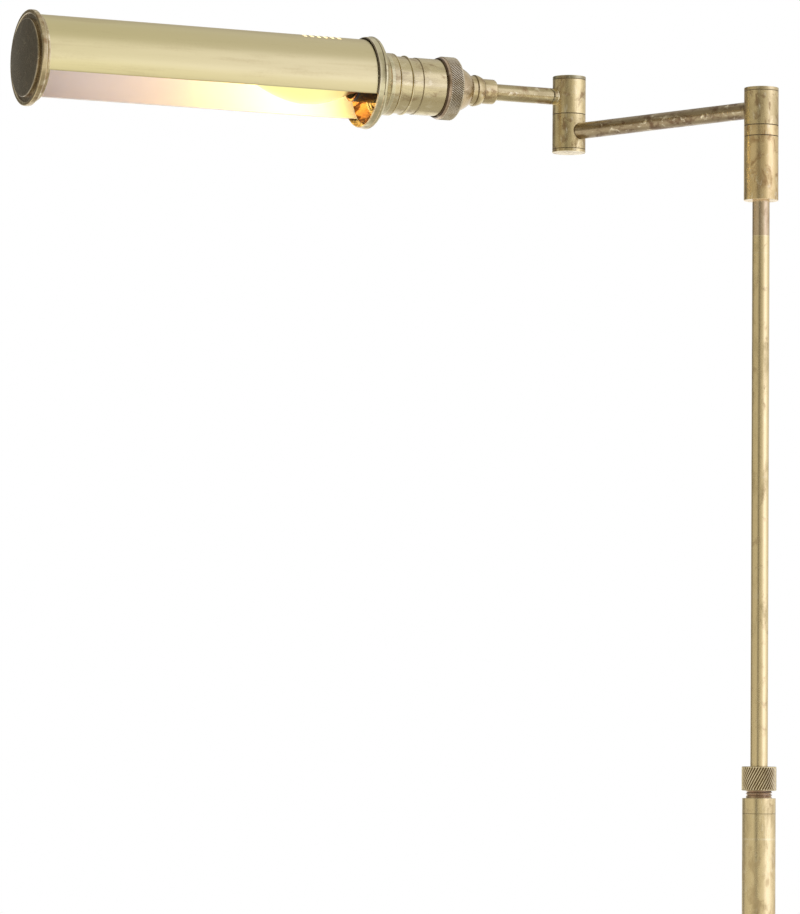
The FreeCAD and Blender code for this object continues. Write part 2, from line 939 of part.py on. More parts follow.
def end_cap():
    face = shade_end + cap_face_out
    bead_low = face - cap_bead_width
    fall = bead_low - cap_fall
    recess = face - cap_recess
    disc = face + cap_disc_rise - cap_recess
    corner = cap_bead_radius - cap_bead_round
    skirt_bore = shade_bore - cap_plate
    bead_round = cap_bead_round * diagonal
    disc_edge = cap_disc_radius - cap_disc_round
    disc_round = cap_disc_round * diagonal
    return on_head(turned([
        (shade_radius, shade_end),
        (shade_radius, fall),
        (shade_radius + cap_fall_out, fall + cap_fall_share * cap_fall,
         cap_bead_radius - cap_bead_step, bead_low),
        (cap_bead_radius, bead_low + cap_bead_slope),
        (cap_bead_radius, face - cap_bead_round),
        (corner + bead_round, face - cap_bead_round + bead_round, corner, face),
        (shade_radius + cap_recess_out, face),
        (shade_radius - cap_recess_in, recess),
        (cap_disc_radius, recess),
        (cap_disc_radius, disc - cap_disc_round),
        (disc_edge + disc_round, disc - cap_disc_round + disc_round, disc_edge, disc),
        (0, disc),
        (0, disc - cap_plate),
        (disc_edge - cap_plate, disc - cap_plate),
        (disc_edge - cap_plate, recess - cap_plate),
        (skirt_bore, recess - cap_plate),
        (skirt_bore, shade_end - cap_skirt_depth),
        (shade_bore, shade_end - cap_skirt_depth),
        (shade_bore, shade_end)]))


# ---- lampholder and bulb ---------------------------------------------------------------------------

holder_flange_end = cup_start - shell_flange_thickness
holder_flange_start = holder_flange_end - holder_flange_thickness
shade_ring_start = cup_start + cup_back_thickness
shade_ring_end = shade_ring_start + shade_ring_height
holder_end = cup_start + holder_front_length
skirt_start = holder_end - skirt_overlap
skirt_end = cup_start + skirt_reach
bulb_glass_start = skirt_end - bulb_seat_depth
bulb_cap_start = bulb_glass_start - bulb_cap_length
bulb_tip_start = bulb_cap_start - bulb_tip_length


def lampholder_body():
    pocket = bulb_tip_start - centre_contact_length
    rear = holder_flange_start - holder_rear_length
    body = turned([
        (0, rear),
        (holder_radius - holder_rear_step, rear),
        (holder_radius - holder_rear_step, holder_flange_start),
        (holder_flange_radius, holder_flange_start),
        (holder_flange_radius, holder_flange_end),
        (holder_radius, holder_flange_end),
        (holder_radius, holder_end),
        (contact_shell_radius, holder_end),
        (contact_shell_radius, pocket),
        (0, pocket)])
    for side in (-1, 1):
        base = FreeCAD.Vector(terminal_spacing / 2 * side, 0, 0)
        body = body.cut(rod_between(
            terminal_hole_radius, rear - 1, rear + terminal_hole_depth, up, base))
    return on_head(body)


def shade_ring():
    body = ring(holder_radius, shade_ring_radius, shade_ring_start, shade_ring_end)
    for k in range(shade_ring_notch_count):
        base = heading(360 / shade_ring_notch_count * k) * (shade_ring_radius + shade_ring_notch_out)
        body = body.cut(rod_between(
            shade_ring_notch_radius, shade_ring_start - 1, shade_ring_end + 1, up, base))
    return on_head(body)


def lampholder_skirt():
    bore = skirt_radius - skirt_wall
    return on_head(turned([
        (bore, skirt_start),
        (skirt_radius - skirt_edge, skirt_start),
        (skirt_radius, skirt_start + skirt_edge),
        (skirt_radius, skirt_end - skirt_edge),
        (skirt_radius - skirt_edge, skirt_end),
        (bore, skirt_end)]))


def screw_contact():
    inner = contact_shell_radius - contact_shell_wall
    low = bulb_tip_start
    return on_head(ring(inner, contact_shell_radius, low, low + contact_shell_length))


def centre_contact():
    low = bulb_tip_start - centre_contact_length
    return on_head(rod_between(centre_contact_radius, low, bulb_tip_start))


def bulb_cap():
    return on_head(turned([
        (0, bulb_cap_start),
        (bulb_cap_radius - bulb_cap_taper, bulb_cap_start),
        (bulb_cap_radius, bulb_cap_start + bulb_cap_taper_length),
        (bulb_cap_radius, bulb_glass_start),
        (0, bulb_glass_start)]))


def bulb_tip():
    return on_head(turned([
        (0, bulb_tip_start),
        (bulb_tip_radius - bulb_tip_taper, bulb_tip_start),
        (bulb_tip_radius, bulb_cap_start),
        (0, bulb_cap_start)]))


def candle(inset):
    """Candle-shaped solid of the bulb, drawn in by an inset."""
    radii = [
        (0.00, bulb_neck_radius),
        (0.17, bulb_radius * 0.76),
        (0.38, bulb_radius),
        (0.62, bulb_radius * 0.88),
        (0.86, bulb_radius * 0.42)]
    points = []
    for share, radius in radii:
        points.append(FreeCAD.Vector(radius - inset, 0, bulb_glass_start + share * bulb_length))
    tip = FreeCAD.Vector(0, 0, bulb_glass_start + bulb_length - inset)
    points.append(tip)
    curve = Part.BSplineCurve()
    curve.interpolate(points)
    foot = FreeCAD.Vector(0, 0, bulb_glass_start)
    edges = [
        curve.toShape(),
        Part.makeLine(tip, foot),
        Part.makeLine(foot, points[0])]
    return Part.Face(Part.Wire(edges)).revolve(origin, up, 360)


def bulb_glass():
    return on_head(candle(0).cut(candle(bulb_glass_wall)))


# ---- every sub-part, one file each -------------------------------------------------------------------

PIECES = {
    "base_pad": base_pad,
    "base_weight": base_weight,
    "base_cover": base_cover,
    "base_washer": base_washer,
    "base_nut": base_nut,
    "base_nipple": base_nipple,
    "cord_inlet_bush": cord_inlet_bush,
    "foot_plug": foot_plug,
    "foot_collar": foot_collar,
    "lower_tube": lower_tube,
    "top_collar": top_collar,
    "clamp_collet": clamp_collet,
    "clamp_nut": clamp_nut,
    "rod": rod,
    "rod_guide": rod_guide,
    "hub_sleeve": hub_sleeve,
    "hub_grub_screw": hub_grub_screw,
    "hub_lower_washer": hub_lower_washer,
    "hub_ring": hub_ring,
    "hub_upper_washer": hub_upper_washer,
    "hub_spindle": hub_spindle,
    "hub_spring_washer": lambda: spring_washer(hub_barrel_bottom, hub_barrel_height),
    "hub_spindle_nut": lambda: spindle_nut(hub_barrel_bottom, hub_barrel_height),
    "hub_barrel": lambda: turning_barrel(
        hub_barrel_bottom, hub_barrel_height, lower_arm_height, lower_arm_heading),
    "hub_cap": hub_cap,
    "lower_arm_tube": lower_arm_tube,
    "elbow_lower_barrel": elbow_lower_barrel,
    "elbow_bottom_cap": elbow_bottom_cap,
    "elbow_washer": elbow_washer,
    "elbow_spindle": elbow_spindle,
    "elbow_spring_washer": elbow_spring_washer,
    "elbow_spindle_nut": elbow_spindle_nut,
    "elbow_upper_barrel": elbow_upper_barrel,
    "elbow_top_cap": elbow_top_cap,
    "upper_arm_tube": upper_arm_tube,
    "neck_collar": neck_collar,
    "bell": bell,
    "swivel_nipple": swivel_nipple,
    "swivel_washer": swivel_washer,
    "swivel_nut": swivel_nut,
    "knurled_ring": knurled_ring,
    "holder_shell": holder_shell,
    "gallery_cup": gallery_cup,
    "shade_ring": shade_ring,
    "shade_tube": shade_tube,
    "end_cap": end_cap,
    "lampholder_body": lampholder_body,
    "lampholder_skirt": lampholder_skirt,
    "screw_contact": screw_contact,
    "centre_contact": centre_contact,
    "bulb_cap": bulb_cap,
    "bulb_tip": bulb_tip,
    "bulb_glass": bulb_glass,
}

os.makedirs("parts", exist_ok=True)
for name, make in PIECES.items():
    shape = make()
    print(name, len(shape.Solids), "solid", shape.isValid(), "volume", round(shape.Volume, 1))
    shape.exportStep("parts/" + name + ".step")
print("clamp nut top", clamp_nut_top, "hub bottom", hub_bottom, "head axis", upper_arm_height)
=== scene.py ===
import json
import math
from collections import namedtuple

import bmesh
import bpy
import numpy as np
from mathutils import Matrix


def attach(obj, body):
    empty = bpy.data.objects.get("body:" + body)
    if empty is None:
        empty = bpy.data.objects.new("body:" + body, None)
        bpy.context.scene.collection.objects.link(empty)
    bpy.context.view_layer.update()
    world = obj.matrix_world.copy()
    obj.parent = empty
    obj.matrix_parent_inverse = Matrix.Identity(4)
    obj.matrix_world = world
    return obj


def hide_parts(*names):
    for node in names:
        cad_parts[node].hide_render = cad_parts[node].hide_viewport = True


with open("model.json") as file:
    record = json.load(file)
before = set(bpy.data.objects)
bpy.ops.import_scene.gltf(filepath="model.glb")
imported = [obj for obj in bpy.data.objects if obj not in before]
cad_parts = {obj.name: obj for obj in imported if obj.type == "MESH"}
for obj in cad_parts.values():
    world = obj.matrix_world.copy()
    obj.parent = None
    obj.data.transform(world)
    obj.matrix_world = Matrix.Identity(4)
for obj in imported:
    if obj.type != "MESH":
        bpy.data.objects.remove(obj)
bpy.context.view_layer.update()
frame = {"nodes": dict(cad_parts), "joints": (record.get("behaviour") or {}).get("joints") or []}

# ---- Camera ------------------------
# A long lens in front of the lamp, a little above the height clamp and tilted slightly up. Its
# place was fitted to the rims, edges and axes that the photograph shows.

picture_height_px = 914
focal_length_px = 4571.2
camera_place = (-0.27015, -3.42247, 0.66861)
camera_pitch = 3.526
camera_roll = 0.481

camera = bpy.data.objects.new("camera", bpy.data.cameras.new("camera"))
bpy.context.scene.collection.objects.link(camera)
bpy.context.scene.camera = camera
camera.data.sensor_width = 36.0
camera.data.lens = focal_length_px * camera.data.sensor_width / picture_height_px
camera.data.clip_end = 50.0
camera.matrix_world = (
    Matrix.Translation(camera_place)
    @ Matrix.Rotation(math.radians(90 + camera_pitch), 4, "X")
    @ Matrix.Rotation(math.radians(camera_roll), 4, "Z"))
bpy.context.scene.view_settings.view_transform = "Standard"

# ---- Studio ------------------------
# A white room that is plain behind the lamp. What the brass reflects is a broad soft box at the
# right, a grey wall at the left, two dark gaps beside the camera and the end wall, and a ceiling.


class Wire:
    """A node's output: each operator on it adds one Math node to its tree."""

    def __init__(self, tree, socket):
        self.tree = tree
        self.socket = socket

    def __getitem__(self, name):
        return Wire(self.tree, self.socket.node.outputs[name])

    def maths(self, operation, first, second):
        return self.tree.add("Math", {"operation": operation}, {0: first, 1: second})

    def __add__(self, other):
        return self.maths("ADD", self, other)

    def __sub__(self, other):
        return self.maths("SUBTRACT", self, other)

    def __rsub__(self, other):
        return self.maths("SUBTRACT", other, self)

    def __mul__(self, other):
        return self.maths("MULTIPLY", self, other)

    __radd__ = __add__
    __rmul__ = __mul__


class Tree:
    """The node tree of one material or of the world, filled by add()."""

    def __init__(self, owner):
        owner.use_nodes = True
        self.owner = owner
        self.nodes = owner.node_tree.nodes
        self.links = owner.node_tree.links
        self.nodes.clear()

    def add(self, kind, settings=None, inputs=None):
        """One shader node: its settings first, or a ramp's stops, then its sockets."""
        node = self.nodes.new("ShaderNode" + kind)
        for key, value in (settings or {}).items():
            if key == "stops":
                stops = node.color_ramp.elements
                stops[0].position, stops[1].position = value[0][0], value[-1][0]
                for position, colour in value[1:-1]:
                    stops.new(position)
                for stop, (position, colour) in zip(stops, value):
                    stop.color = (*colour, 1)
            else:
                setattr(node, key, value)
        for key, value in (inputs or {}).items():
            if isinstance(key, int):
                socket = node.inputs[key]
            else:
                socket = next(s for s in node.inputs if s.enabled and s.name == key)
            if isinstance(value, Wire):
                self.links.new(value.socket, socket)
            elif socket.type == "RGBA":
                socket.default_value = (*value, 1)
            else:
                socket.default_value = value
        return Wire(self, next((s for s in node.outputs if s.enabled), None) or node)

    def step(self, value, low, high, start=0.0, end=1.0):
        """Smooth step: start below low, end above high."""
        return self.add(
            "MapRange", {"interpolation_type": "SMOOTHSTEP"},
            {"Value": value, "From Min": low, "From Max": high, "To Min": start, "To Max": end})

    def mix(self, share, first, second):
        """A colour between two colours."""
        return self.add(
            "Mix", {"data_type": "RGBA"}, {"Factor": share, "A": first, "B": second})


# brightness round the lamp by bearing: 0 is towards the camera, plus is to the right of it
ramp_top = 1.8
low_walls = [
    (-180, 0.60), (-152, 0.58), (-140, 0.20), (-126, 0.20), (-112, 0.58), (-46, 0.64),
    (-32, 0.42), (-24, 0.12), (-18, 0.12), (-10, 0.52), (2, 0.66), (30, 0.92), (48, 1.56),
    (70, 1.62), (90, 1.20), (112, 0.90), (140, 0.80), (180, 0.60)]
high_walls = [
    (-180, 0.56), (-152, 0.50), (-140, 0.18), (-126, 0.16), (-108, 0.42), (-80, 0.56), (-46, 0.54),
    (-28, 0.34), (-10, 0.28), (14, 0.34), (34, 0.80), (52, 1.34), (72, 1.42), (90, 1.10),
    (112, 0.80), (140, 0.74), (180, 0.56)]
dim_tint = np.array((1.0, 0.955, 0.85))
bright_tint = np.array((1.0, 1.03, 1.28))
tint_start, tint_span = 0.6, 0.9
ceiling_level = 0.76
ground_level = 1.35
plain_level = 0.95

# where one band of the room ends, as the height of a direction of length 1
high_walls_from = (0.106, 0.124)
ceiling_from = (0.62, 0.80)
ground_from = (-0.08, -0.12)


def wall_stops(walls):
    """Ramp stops from bearings and levels: dim walls are a little warm, and the soft box cool."""
    stops = []
    for angle, level in walls:
        share = min(max((level - tint_start) / tint_span, 0.0), 1.0)
        tint = dim_tint + share * (bright_tint - dim_tint)
        stops.append(((angle + 180) / 360, tuple(level / ramp_top * tint)))
    return stops


world = bpy.data.worlds.new("studio")
bpy.context.scene.world = world
studio = Tree(world)
towards = studio.add(
    "SeparateXYZ", {}, {"Vector": studio.add("TexCoord")["Generated"]})
bearing = studio.add(
    "Math", {"operation": "ARCTAN2"}, {0: towards["X"], 1: 0.0 - towards["Y"]})
place_on_ramp = bearing * (1 / (2 * math.pi)) + 0.5
low = studio.add("ValToRGB", {"stops": wall_stops(low_walls)}, {"Fac": place_on_ramp})
high = studio.add("ValToRGB", {"stops": wall_stops(high_walls)}, {"Fac": place_on_ramp})
walls = studio.mix(studio.step(towards["Z"], *high_walls_from), low, high)
walls = studio.mix(studio.step(towards["Z"], *ceiling_from), walls, (ceiling_level / ramp_top,) * 3)
walls = studio.mix(studio.step(towards["Z"], *ground_from), walls, (ground_level / ramp_top,) * 3)
rays = studio.add("LightPath")
reflected = studio.add("Background", {}, {"Color": walls, "Strength": ramp_top})
plain = studio.add("Background", {}, {"Color": (plain_level,) * 3, "Strength": 1.0})
white = studio.add("Background", {}, {"Color": (1.0, 1.0, 1.0), "Strength": 1.0})
lit = studio.add(
    "MixShader", {}, {0: rays["Is Diffuse Ray"], 1: reflected, 2: plain})
sky = studio.add("MixShader", {}, {0: rays["Is Camera Ray"], 1: lit, 2: white})
studio.add("OutputWorld", {}, {"Surface": sky})

# sheet of white paper, in metres: shaded near the lamp, plain white further out, and in the
# brass a dim patch round the base with glare beyond it
floor_half = 6.0
floor_drop = 0.0002
shaded_to = (0.35, 1.4)
dim_to = (0.9, 1.7)
glare_level = 1.2
dim_paper = (0.64, 0.62, 0.59)
floor_mesh = bpy.data.meshes.new("floor")
floor_mesh.from_pydata(
    [(-floor_half, -floor_half, -floor_drop), (floor_half, -floor_half, -floor_drop),
     (floor_half, floor_half, -floor_drop), (-floor_half, floor_half, -floor_drop)],
    [], [(0, 1, 2, 3)])
floor = bpy.data.objects.new("floor", floor_mesh)
bpy.context.scene.collection.objects.link(floor)

paper = Tree(bpy.data.materials.new("studio_floor"))
spot = paper.add("VectorMath", {"operation": "LENGTH"}, {
    0: paper.add("TexCoord")["Object"]})["Value"]
shaded = paper.add("BsdfDiffuse", {}, {"Color": (0.92, 0.92, 0.92)})
bright = paper.add("Emission", {}, {"Color": (1.0, 1.0, 1.0), "Strength": 1.0})
glare = paper.add("Emission", {}, {"Color": (1.0, 1.0, 1.0), "Strength": glare_level})
faded = paper.add(
    "MixShader", {}, {0: paper.step(spot, *shaded_to), 1: shaded, 2: bright})
dim = paper.add("Emission", {}, {"Color": dim_paper, "Strength": 1.0})
mirrored = paper.add("MixShader", {}, {0: paper.step(spot, *dim_to), 1: dim, 2: glare})
seen_paper = paper.add("MixShader", {}, {
    0: paper.add("LightPath")["Is Glossy Ray"], 1: faded, 2: mirrored})
paper.add("OutputMaterial", {}, {"Surface": seen_paper})
floor_mesh.materials.append(paper.owner)

# ---- Base ------------------------
# A cast-iron weight on a felt pad, under a spun brass cover that steps in and rises to the pole.
# A threaded tube, a washer and a nut under the weight hold it to the pole's foot.


def rows_of(items, field, kind=float):
    """A field with three values of each vertex, face or triangle, as an array of rows."""
    values = np.empty(len(items) * 3, kind)
    items.foreach_get(field, values)
    return values.reshape(-1, 3)


Axis = namedtuple("Axis", "start out side up")


def axis_through(place, direction):
    """A turning axis: a point in millimetres, its direction, and two directions square to it."""
    start, out = np.array(place, float), np.array(direction, float)
    if abs(out[2]) > 0.5:
        return Axis(start, out, np.array((1.0, 0, 0)), np.array((0, 1.0, 0)))
    up = np.array((0, 0, 1.0))
    return Axis(start, out, np.cross(up, out), up)


def extent(node, axis):
    """Start, end and outer radius of a CAD node along a turning axis, in millimetres."""
    away = rows_of(frame["nodes"][node].data.vertices, "co") * 1000 - axis.start
    along = away @ axis.out
    across = np.linalg.norm(away - along[:, None] * axis.out, axis=1)
    return along.min(), along.max(), across.max()


def arc(centre_radius, centre_height, radius, start, end, count=9):
    """Points of an outline at centre + radius (cos a, sin a), with a from start to end degrees."""
    angle = np.radians(np.linspace(start, end, count))
    return np.stack(
        [centre_radius + radius * np.cos(angle), centre_height + radius * np.sin(angle)], 1)


def straight(radius, low, high, count):
    """Points of an outline at one radius, evenly from low to high."""
    return np.stack([np.full(count, radius), np.linspace(low, high, count)], 1)


def bow(first, middle, last, count=9):
    """Points on the parabola that passes through three points at s = 0, 1/2 and 1."""
    s = np.linspace(0, 1, count)[:, None]
    first, middle, last = np.array(first), np.array(middle), np.array(last)
    return (first * (1 - s) * (1 - 2 * s)
            + middle * 4 * s * (1 - s)
            + last * s * (2 * s - 1))


def softened(outline, edge):
    """A closed outline with its sharp corners rounded, and how much each point stands out or in.

    A corner P becomes P + a (1 - s)^2 + b s^2, where a and b reach from it towards its two
    neighbours by edge at most. One more point on each side keeps the flats' shading flat.
    """
    point = np.vstack([np.atleast_2d(part) for part in outline])
    point = point[np.linalg.norm(point - np.roll(point, 1, 0), axis=1) > 1e-6]
    before = np.roll(point, 1, 0) - point
    after = np.roll(point, -1, 0) - point
    length_before = np.linalg.norm(before, axis=1)[:, None]
    length_after = np.linalg.norm(after, axis=1)[:, None]
    before /= length_before
    after /= length_after
    sharp = ((before * after).sum(1, keepdims=True) > -0.93) & (point[:, :1] > 1e-6)
    reach = np.where(sharp, np.minimum(edge, 0.3 * np.minimum(length_before, length_after)), 0.0)
    s = np.linspace(0, 1, 5)[None, :, None]
    curve = (point[:, None] + reach[:, None] * (
        before[:, None] * (1 - s) ** 2 + after[:, None] * s ** 2))
    flank = 1.6 * reach
    rows = np.concatenate([
        (point + before * flank)[:, None], curve, (point + after * flank)[:, None]], 1)
    turn = before[:, 0] * after[:, 1] - before[:, 1] * after[:, 0]
    stand = np.zeros(rows.shape[:2])
    stand[:, 1:6] = (np.sign(turn) * sharp[:, 0])[:, None]
    rows, stand = rows.reshape(-1, 2), stand.ravel()
    kept = np.linalg.norm(rows - np.roll(rows, 1, 0), axis=1) > 1e-5
    rows, stand = rows[kept], stand[kept]
    following = np.roll(rows, -1, 0)
    inside = np.sign((rows[:, 0] * following[:, 1] - following[:, 0] * rows[:, 1]).sum())
    return rows, -stand * inside


def quads_between(index):
    """Four corners for each face between the rows of a grid of points whose columns close round."""
    near, far = index[:-1], index[1:]
    return np.stack([near, np.roll(near, -1, 1), np.roll(far, -1, 1), far], -1)


def closed_piece(name, mesh):
    """Smooth object of a closed mesh, turned so that its volume, sum a . (b x c) / 6, is plus."""
    piece = bpy.data.objects.new(name, mesh)
    bpy.context.scene.collection.objects.link(piece)
    mesh.calc_loop_triangles()
    triangle = rows_of(mesh.loop_triangles, "vertices", int)
    a, b, c = rows_of(mesh.vertices, "co")[triangle].transpose(1, 0, 2)
    if (a * np.cross(b, c)).sum() < 0:
        mesh.flip_normals()
    mesh.polygons.foreach_set("use_smooth", np.ones(len(mesh.polygons), bool))
    return piece


def skin(name, grid, round_rows, stand):
    """Closed mesh over a grid of points [row, column, xyz] in millimetres.

    The columns close round. The rows close round too, or they end in a point at both ends. Stand
    says how far each row stands out (1) or lies in (-1), for the finish.
    """
    rows, columns = grid.shape[:2]
    index = np.arange(rows * columns).reshape(rows, columns)
    if not round_rows:
        index[0] = index[0, 0]
        index[-1] = index[-1, 0]
    quads = quads_between(np.vstack([index, index[:1]]) if round_rows else index)
    if round_rows:
        faces = quads.reshape(-1, 4).tolist()
    else:
        faces = quads[1:-1].reshape(-1, 4).tolist()
        faces += quads[0][:, [0, 2, 3]].tolist()
        faces += quads[-1][:, [0, 1, 2]].tolist()
    # points that no face uses, at the two ends, are left out
    used, faces_flat = np.unique(np.concatenate([np.array(f) for f in faces]), return_inverse=True)
    counts = [len(f) for f in faces]
    starts = np.cumsum([0] + counts)
    faces = [faces_flat[a:b].tolist() for a, b in zip(starts[:-1], starts[1:])]
    mesh = bpy.data.meshes.new(name)
    mesh.from_pydata((grid.reshape(-1, 3)[used] / 1000).tolist(), [], faces)
    level = np.repeat(stand, columns)[used]
    wear = mesh.attributes.new("wear", "FLOAT", "POINT")
    wear.data.foreach_set("value", level.astype(np.float32))
    mesh.validate()
    return closed_piece(name, mesh)


def round_axis(axis, angle, reach, along):
    """Points at start + along out + reach (cos angle side + sin angle up), for matching arrays."""
    spoke = np.cos(angle)[..., None] * axis.side + np.sin(angle)[..., None] * axis.up
    return axis.start + along[..., None] * axis.out + reach[..., None] * spoke


seam_reach = 0.5


def turned(name, axis, outline, edge=0.3, columns=96, relief=None, twist=None, seams=()):
    """Turned piece: each outline point (r, t) goes to start + t out + r (cos f side + sin f up).

    relief(r, t, f) is added to the radius, and twist(t) to the angle f. An outline that starts and
    ends on the axis makes a solid piece, and any other one a ring. Seams are the places t where
    another piece meets it, which hold dirt.
    """
    rows, stand = softened(outline, edge)
    for seam in seams:
        stand = np.where((np.abs(rows[:, 1] - seam) < seam_reach) & (stand != 0), -1.0, stand)
    solid = rows[0, 0] < 1e-6
    radius, along = rows[:, :1], rows[:, 1:]
    angle = np.arange(columns)[None, :] * 2 * math.pi / columns
    if relief is not None:
        radius = radius + relief(radius, along, angle)
    if twist is not None:
        angle = angle + twist(along)
    return skin(name, round_axis(axis, angle, radius + 0 * angle, along), not solid, stand)


def fit(piece, body, slot, material, *nodes):
    """Gives a piece its finish and its body, in place of the solids of the nodes named."""
    piece.data.materials.append(material)
    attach(piece, body)
    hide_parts(*nodes)


def finish_faces(piece, axis, material, chosen):
    """Gives one more finish to the faces that chosen(across, along, outward, forward, angle) picks.

    Across and along are a face's place in mm, outward and forward are its normal's shares away
    from the axis and along it, and the angle is in degrees round the axis.
    """
    mesh = piece.data
    mesh.materials.append(material)
    normal = rows_of(mesh.polygons, "normal")
    away = rows_of(mesh.polygons, "center") * 1000 - axis.start
    along = away @ axis.out
    spoke = away - along[:, None] * axis.out
    across = np.linalg.norm(spoke, axis=1)
    outward = (normal * spoke).sum(1) / across
    forward = normal @ axis.out
    angle = np.degrees(np.arctan2(spoke @ axis.up, spoke @ axis.side))
    index = np.empty(len(mesh.polygons), np.int32)
    mesh.polygons.foreach_get("material_index", index)
    index[chosen(across, along, outward, forward, angle)] = len(mesh.materials) - 1
    mesh.polygons.foreach_set("material_index", index)


def dress(material, *nodes):
    """Gives CAD nodes that stay as they are a finish of their own."""
    for node in nodes:
        frame["nodes"][node].data.materials.clear()
        frame["nodes"][node].data.materials.append(material)


def local_place(tree, axis, sizes):
    """Object coordinates seen from an axis, over two sizes in mm: along it, and across it."""
    along, across = (size / 1000 for size in sizes)
    upright = abs(axis.out[2]) > 0.5
    return tree.add("Mapping", {"vector_type": "TEXTURE"}, {
        "Vector": tree.add("TexCoord")["Object"], "Location": tuple(axis.start / 1000),
        "Rotation": (0.0, 0.0, 0.0 if upright else math.atan2(axis.out[1], axis.out[0])),
        "Scale": (across, across, along) if upright else (along, across, across)})


def place_along(tree, axis):
    """The place along a turning axis, in millimetres from its start."""
    local = tree.add("SeparateXYZ", {}, {"Vector": local_place(tree, axis, (1.0, 1.0))})
    return local["Z" if abs(axis.out[2]) > 0.5 else "X"]


def noise(tree, axis, sizes, detail=3.0, rough=0.55, twisted=0.0):
    """Cloudy pattern from 0 to 1 with features of these sizes in mm, along an axis and round it."""
    return tree.add("TexNoise", {}, {
        "Vector": local_place(tree, axis, sizes), "Scale": 1.0, "Detail": detail,
        "Roughness": rough, "Distortion": twisted})


def finished(tree, height, strength, surface, depth=0.0002):
    """The tree's material with its principled surface, whose grain is a bump of the height."""
    bumps = tree.add(
        "Bump", {}, {"Strength": strength, "Distance": depth, "Height": height})
    shader = tree.add("BsdfPrincipled", {}, {**surface, "Normal": bumps})
    tree.add("OutputMaterial", {}, {"Surface": shader})
    return tree.owner


gold = (0.76, 0.610, 0.325)
olive = (0.47, 0.365, 0.175)
umber = (0.30, 0.195, 0.090)
pale_gold = (0.90, 0.80, 0.56)
grime = (0.13, 0.085, 0.040)


def aged_brass(name, axis, stain=0.5, bright=gold, dull=olive, deep=umber, marks=(),
               low_stain=None, grain=0.55):
    """Brass tube or turning with a hand-rubbed patina.

    Fine lines, grain mm apart, run lengthwise. Dull clouds, brown stains and paler rubbed patches
    lie over them. What stands out is rubbed pale, and what lies in is dark. Marks are rings rubbed
    bright, each (place, half width) in mm. Stains are strongest just below the place low_stain.
    """
    tree = Tree(bpy.data.materials.new(name))
    lines = noise(tree, axis, (45.0, grain), 2.0)
    clouds = noise(tree, axis, (24.0, 9.0), 4.0, 0.58, 0.4)
    blots = noise(tree, axis, (13.0, 7.5), 3.0, 0.58, 0.5)
    patches = noise(tree, axis, (9.0, 5.0), 3.0, 0.60, 0.7)
    specks = noise(tree, axis, (1.4, 1.1), 3.0, 0.75)
    wear = tree.add("Attribute", {"attribute_name": "wear"})["Fac"]
    along = place_along(tree, axis)
    dulled = tree.step(
        clouds + 0.18 * (specks - 0.5) + 0.22 * (lines - 0.5), 0.56 - 0.24 * stain, 0.74)
    stained = tree.step(blots + 0.20 * (specks - 0.5), 0.59 - 0.12 * stain, 0.76 - 0.10 * stain)
    worn_pale = tree.step(patches + 0.18 * (specks - 0.5), 0.56, 0.74)
    rubbed = tree.step(wear, 0.2, 1.0)
    recessed = tree.step(wear, -0.2, -1.0)
    if low_stain is not None:
        blotched = tree.step(blots + 0.6 * (clouds - 0.5), 0.44, 0.66)
        stained = (blotched * tree.step(along, low_stain, low_stain - 12.0, 0.2, 0.9)
                   * tree.step(along, low_stain - 160.0, low_stain - 60.0, 0.35, 1.0))
    for height, half_width in marks:
        ring = tree.step(
            tree.add("Math", {"operation": "ABSOLUTE"}, {0: along - height}),
            half_width, 0.3 * half_width)
        rubbed = tree.add("Math", {"operation": "MAXIMUM"}, {0: rubbed, 1: ring * clouds})
    colour = tree.mix(dulled * 0.85, bright, dull)
    colour = tree.mix(stained * (0.35 + 0.6 * stain), colour, deep)
    colour = tree.mix(worn_pale * (0.75 * stain), colour, pale_gold)
    colour = tree.mix(tree.step(lines, 0.60, 0.80) * 0.35, colour, dull)
    colour = tree.mix(tree.step(specks, 0.66, 0.80) * (0.3 * stain), colour, deep)
    colour = tree.mix(rubbed * 0.55, colour, pale_gold)
    colour = tree.mix(recessed * 0.85, colour, grime)
    roughness = 0.21 + 0.14 * dulled + 0.12 * stained + 0.10 * (lines - 0.5) + 0.18 * recessed
    return finished(tree, lines + 0.5 * clouds + 0.25 * patches + 0.15 * specks, 0.12, {
        "Base Color": colour, "Metallic": 1.0, "Roughness": roughness,
        "Coat Weight": 0.12, "Coat Roughness": 0.25})


pole = axis_through((0, 0, 0), (0, 0, 1))
cover_low, cover_top, cover_radius = extent("base_cover", pole)
cover_wall = 1.2
skirt_round = 6.0
skirt_top = 19.0
step_radius = 103.0
step_height = 2.5
seat_radius = 30.0
nipple_radius = 5.0
inlet_radius = 4.5
inlet_height = 7.5


def cover_side(inset):
    """The cover's upper side as an outline from its rim to its seat, drawn in by an inset."""
    spring = skirt_top - skirt_round
    return [
        (cover_radius - inset, cover_low),
        arc(cover_radius - skirt_round, spring, skirt_round - inset, 0, 90),
        (step_radius - inset, skirt_top - inset),
        (step_radius - inset, skirt_top + step_height - inset),
        (seat_radius, cover_top - inset)]


under_side = cover_side(cover_wall)
cover = turned(
    "spun_cover", pole,
    cover_side(0) + [(nipple_radius, cover_top), (nipple_radius, cover_top - cover_wall)]
    + under_side[:1:-1] + [under_side[1][::-1], under_side[0]], edge=0.7, columns=192)


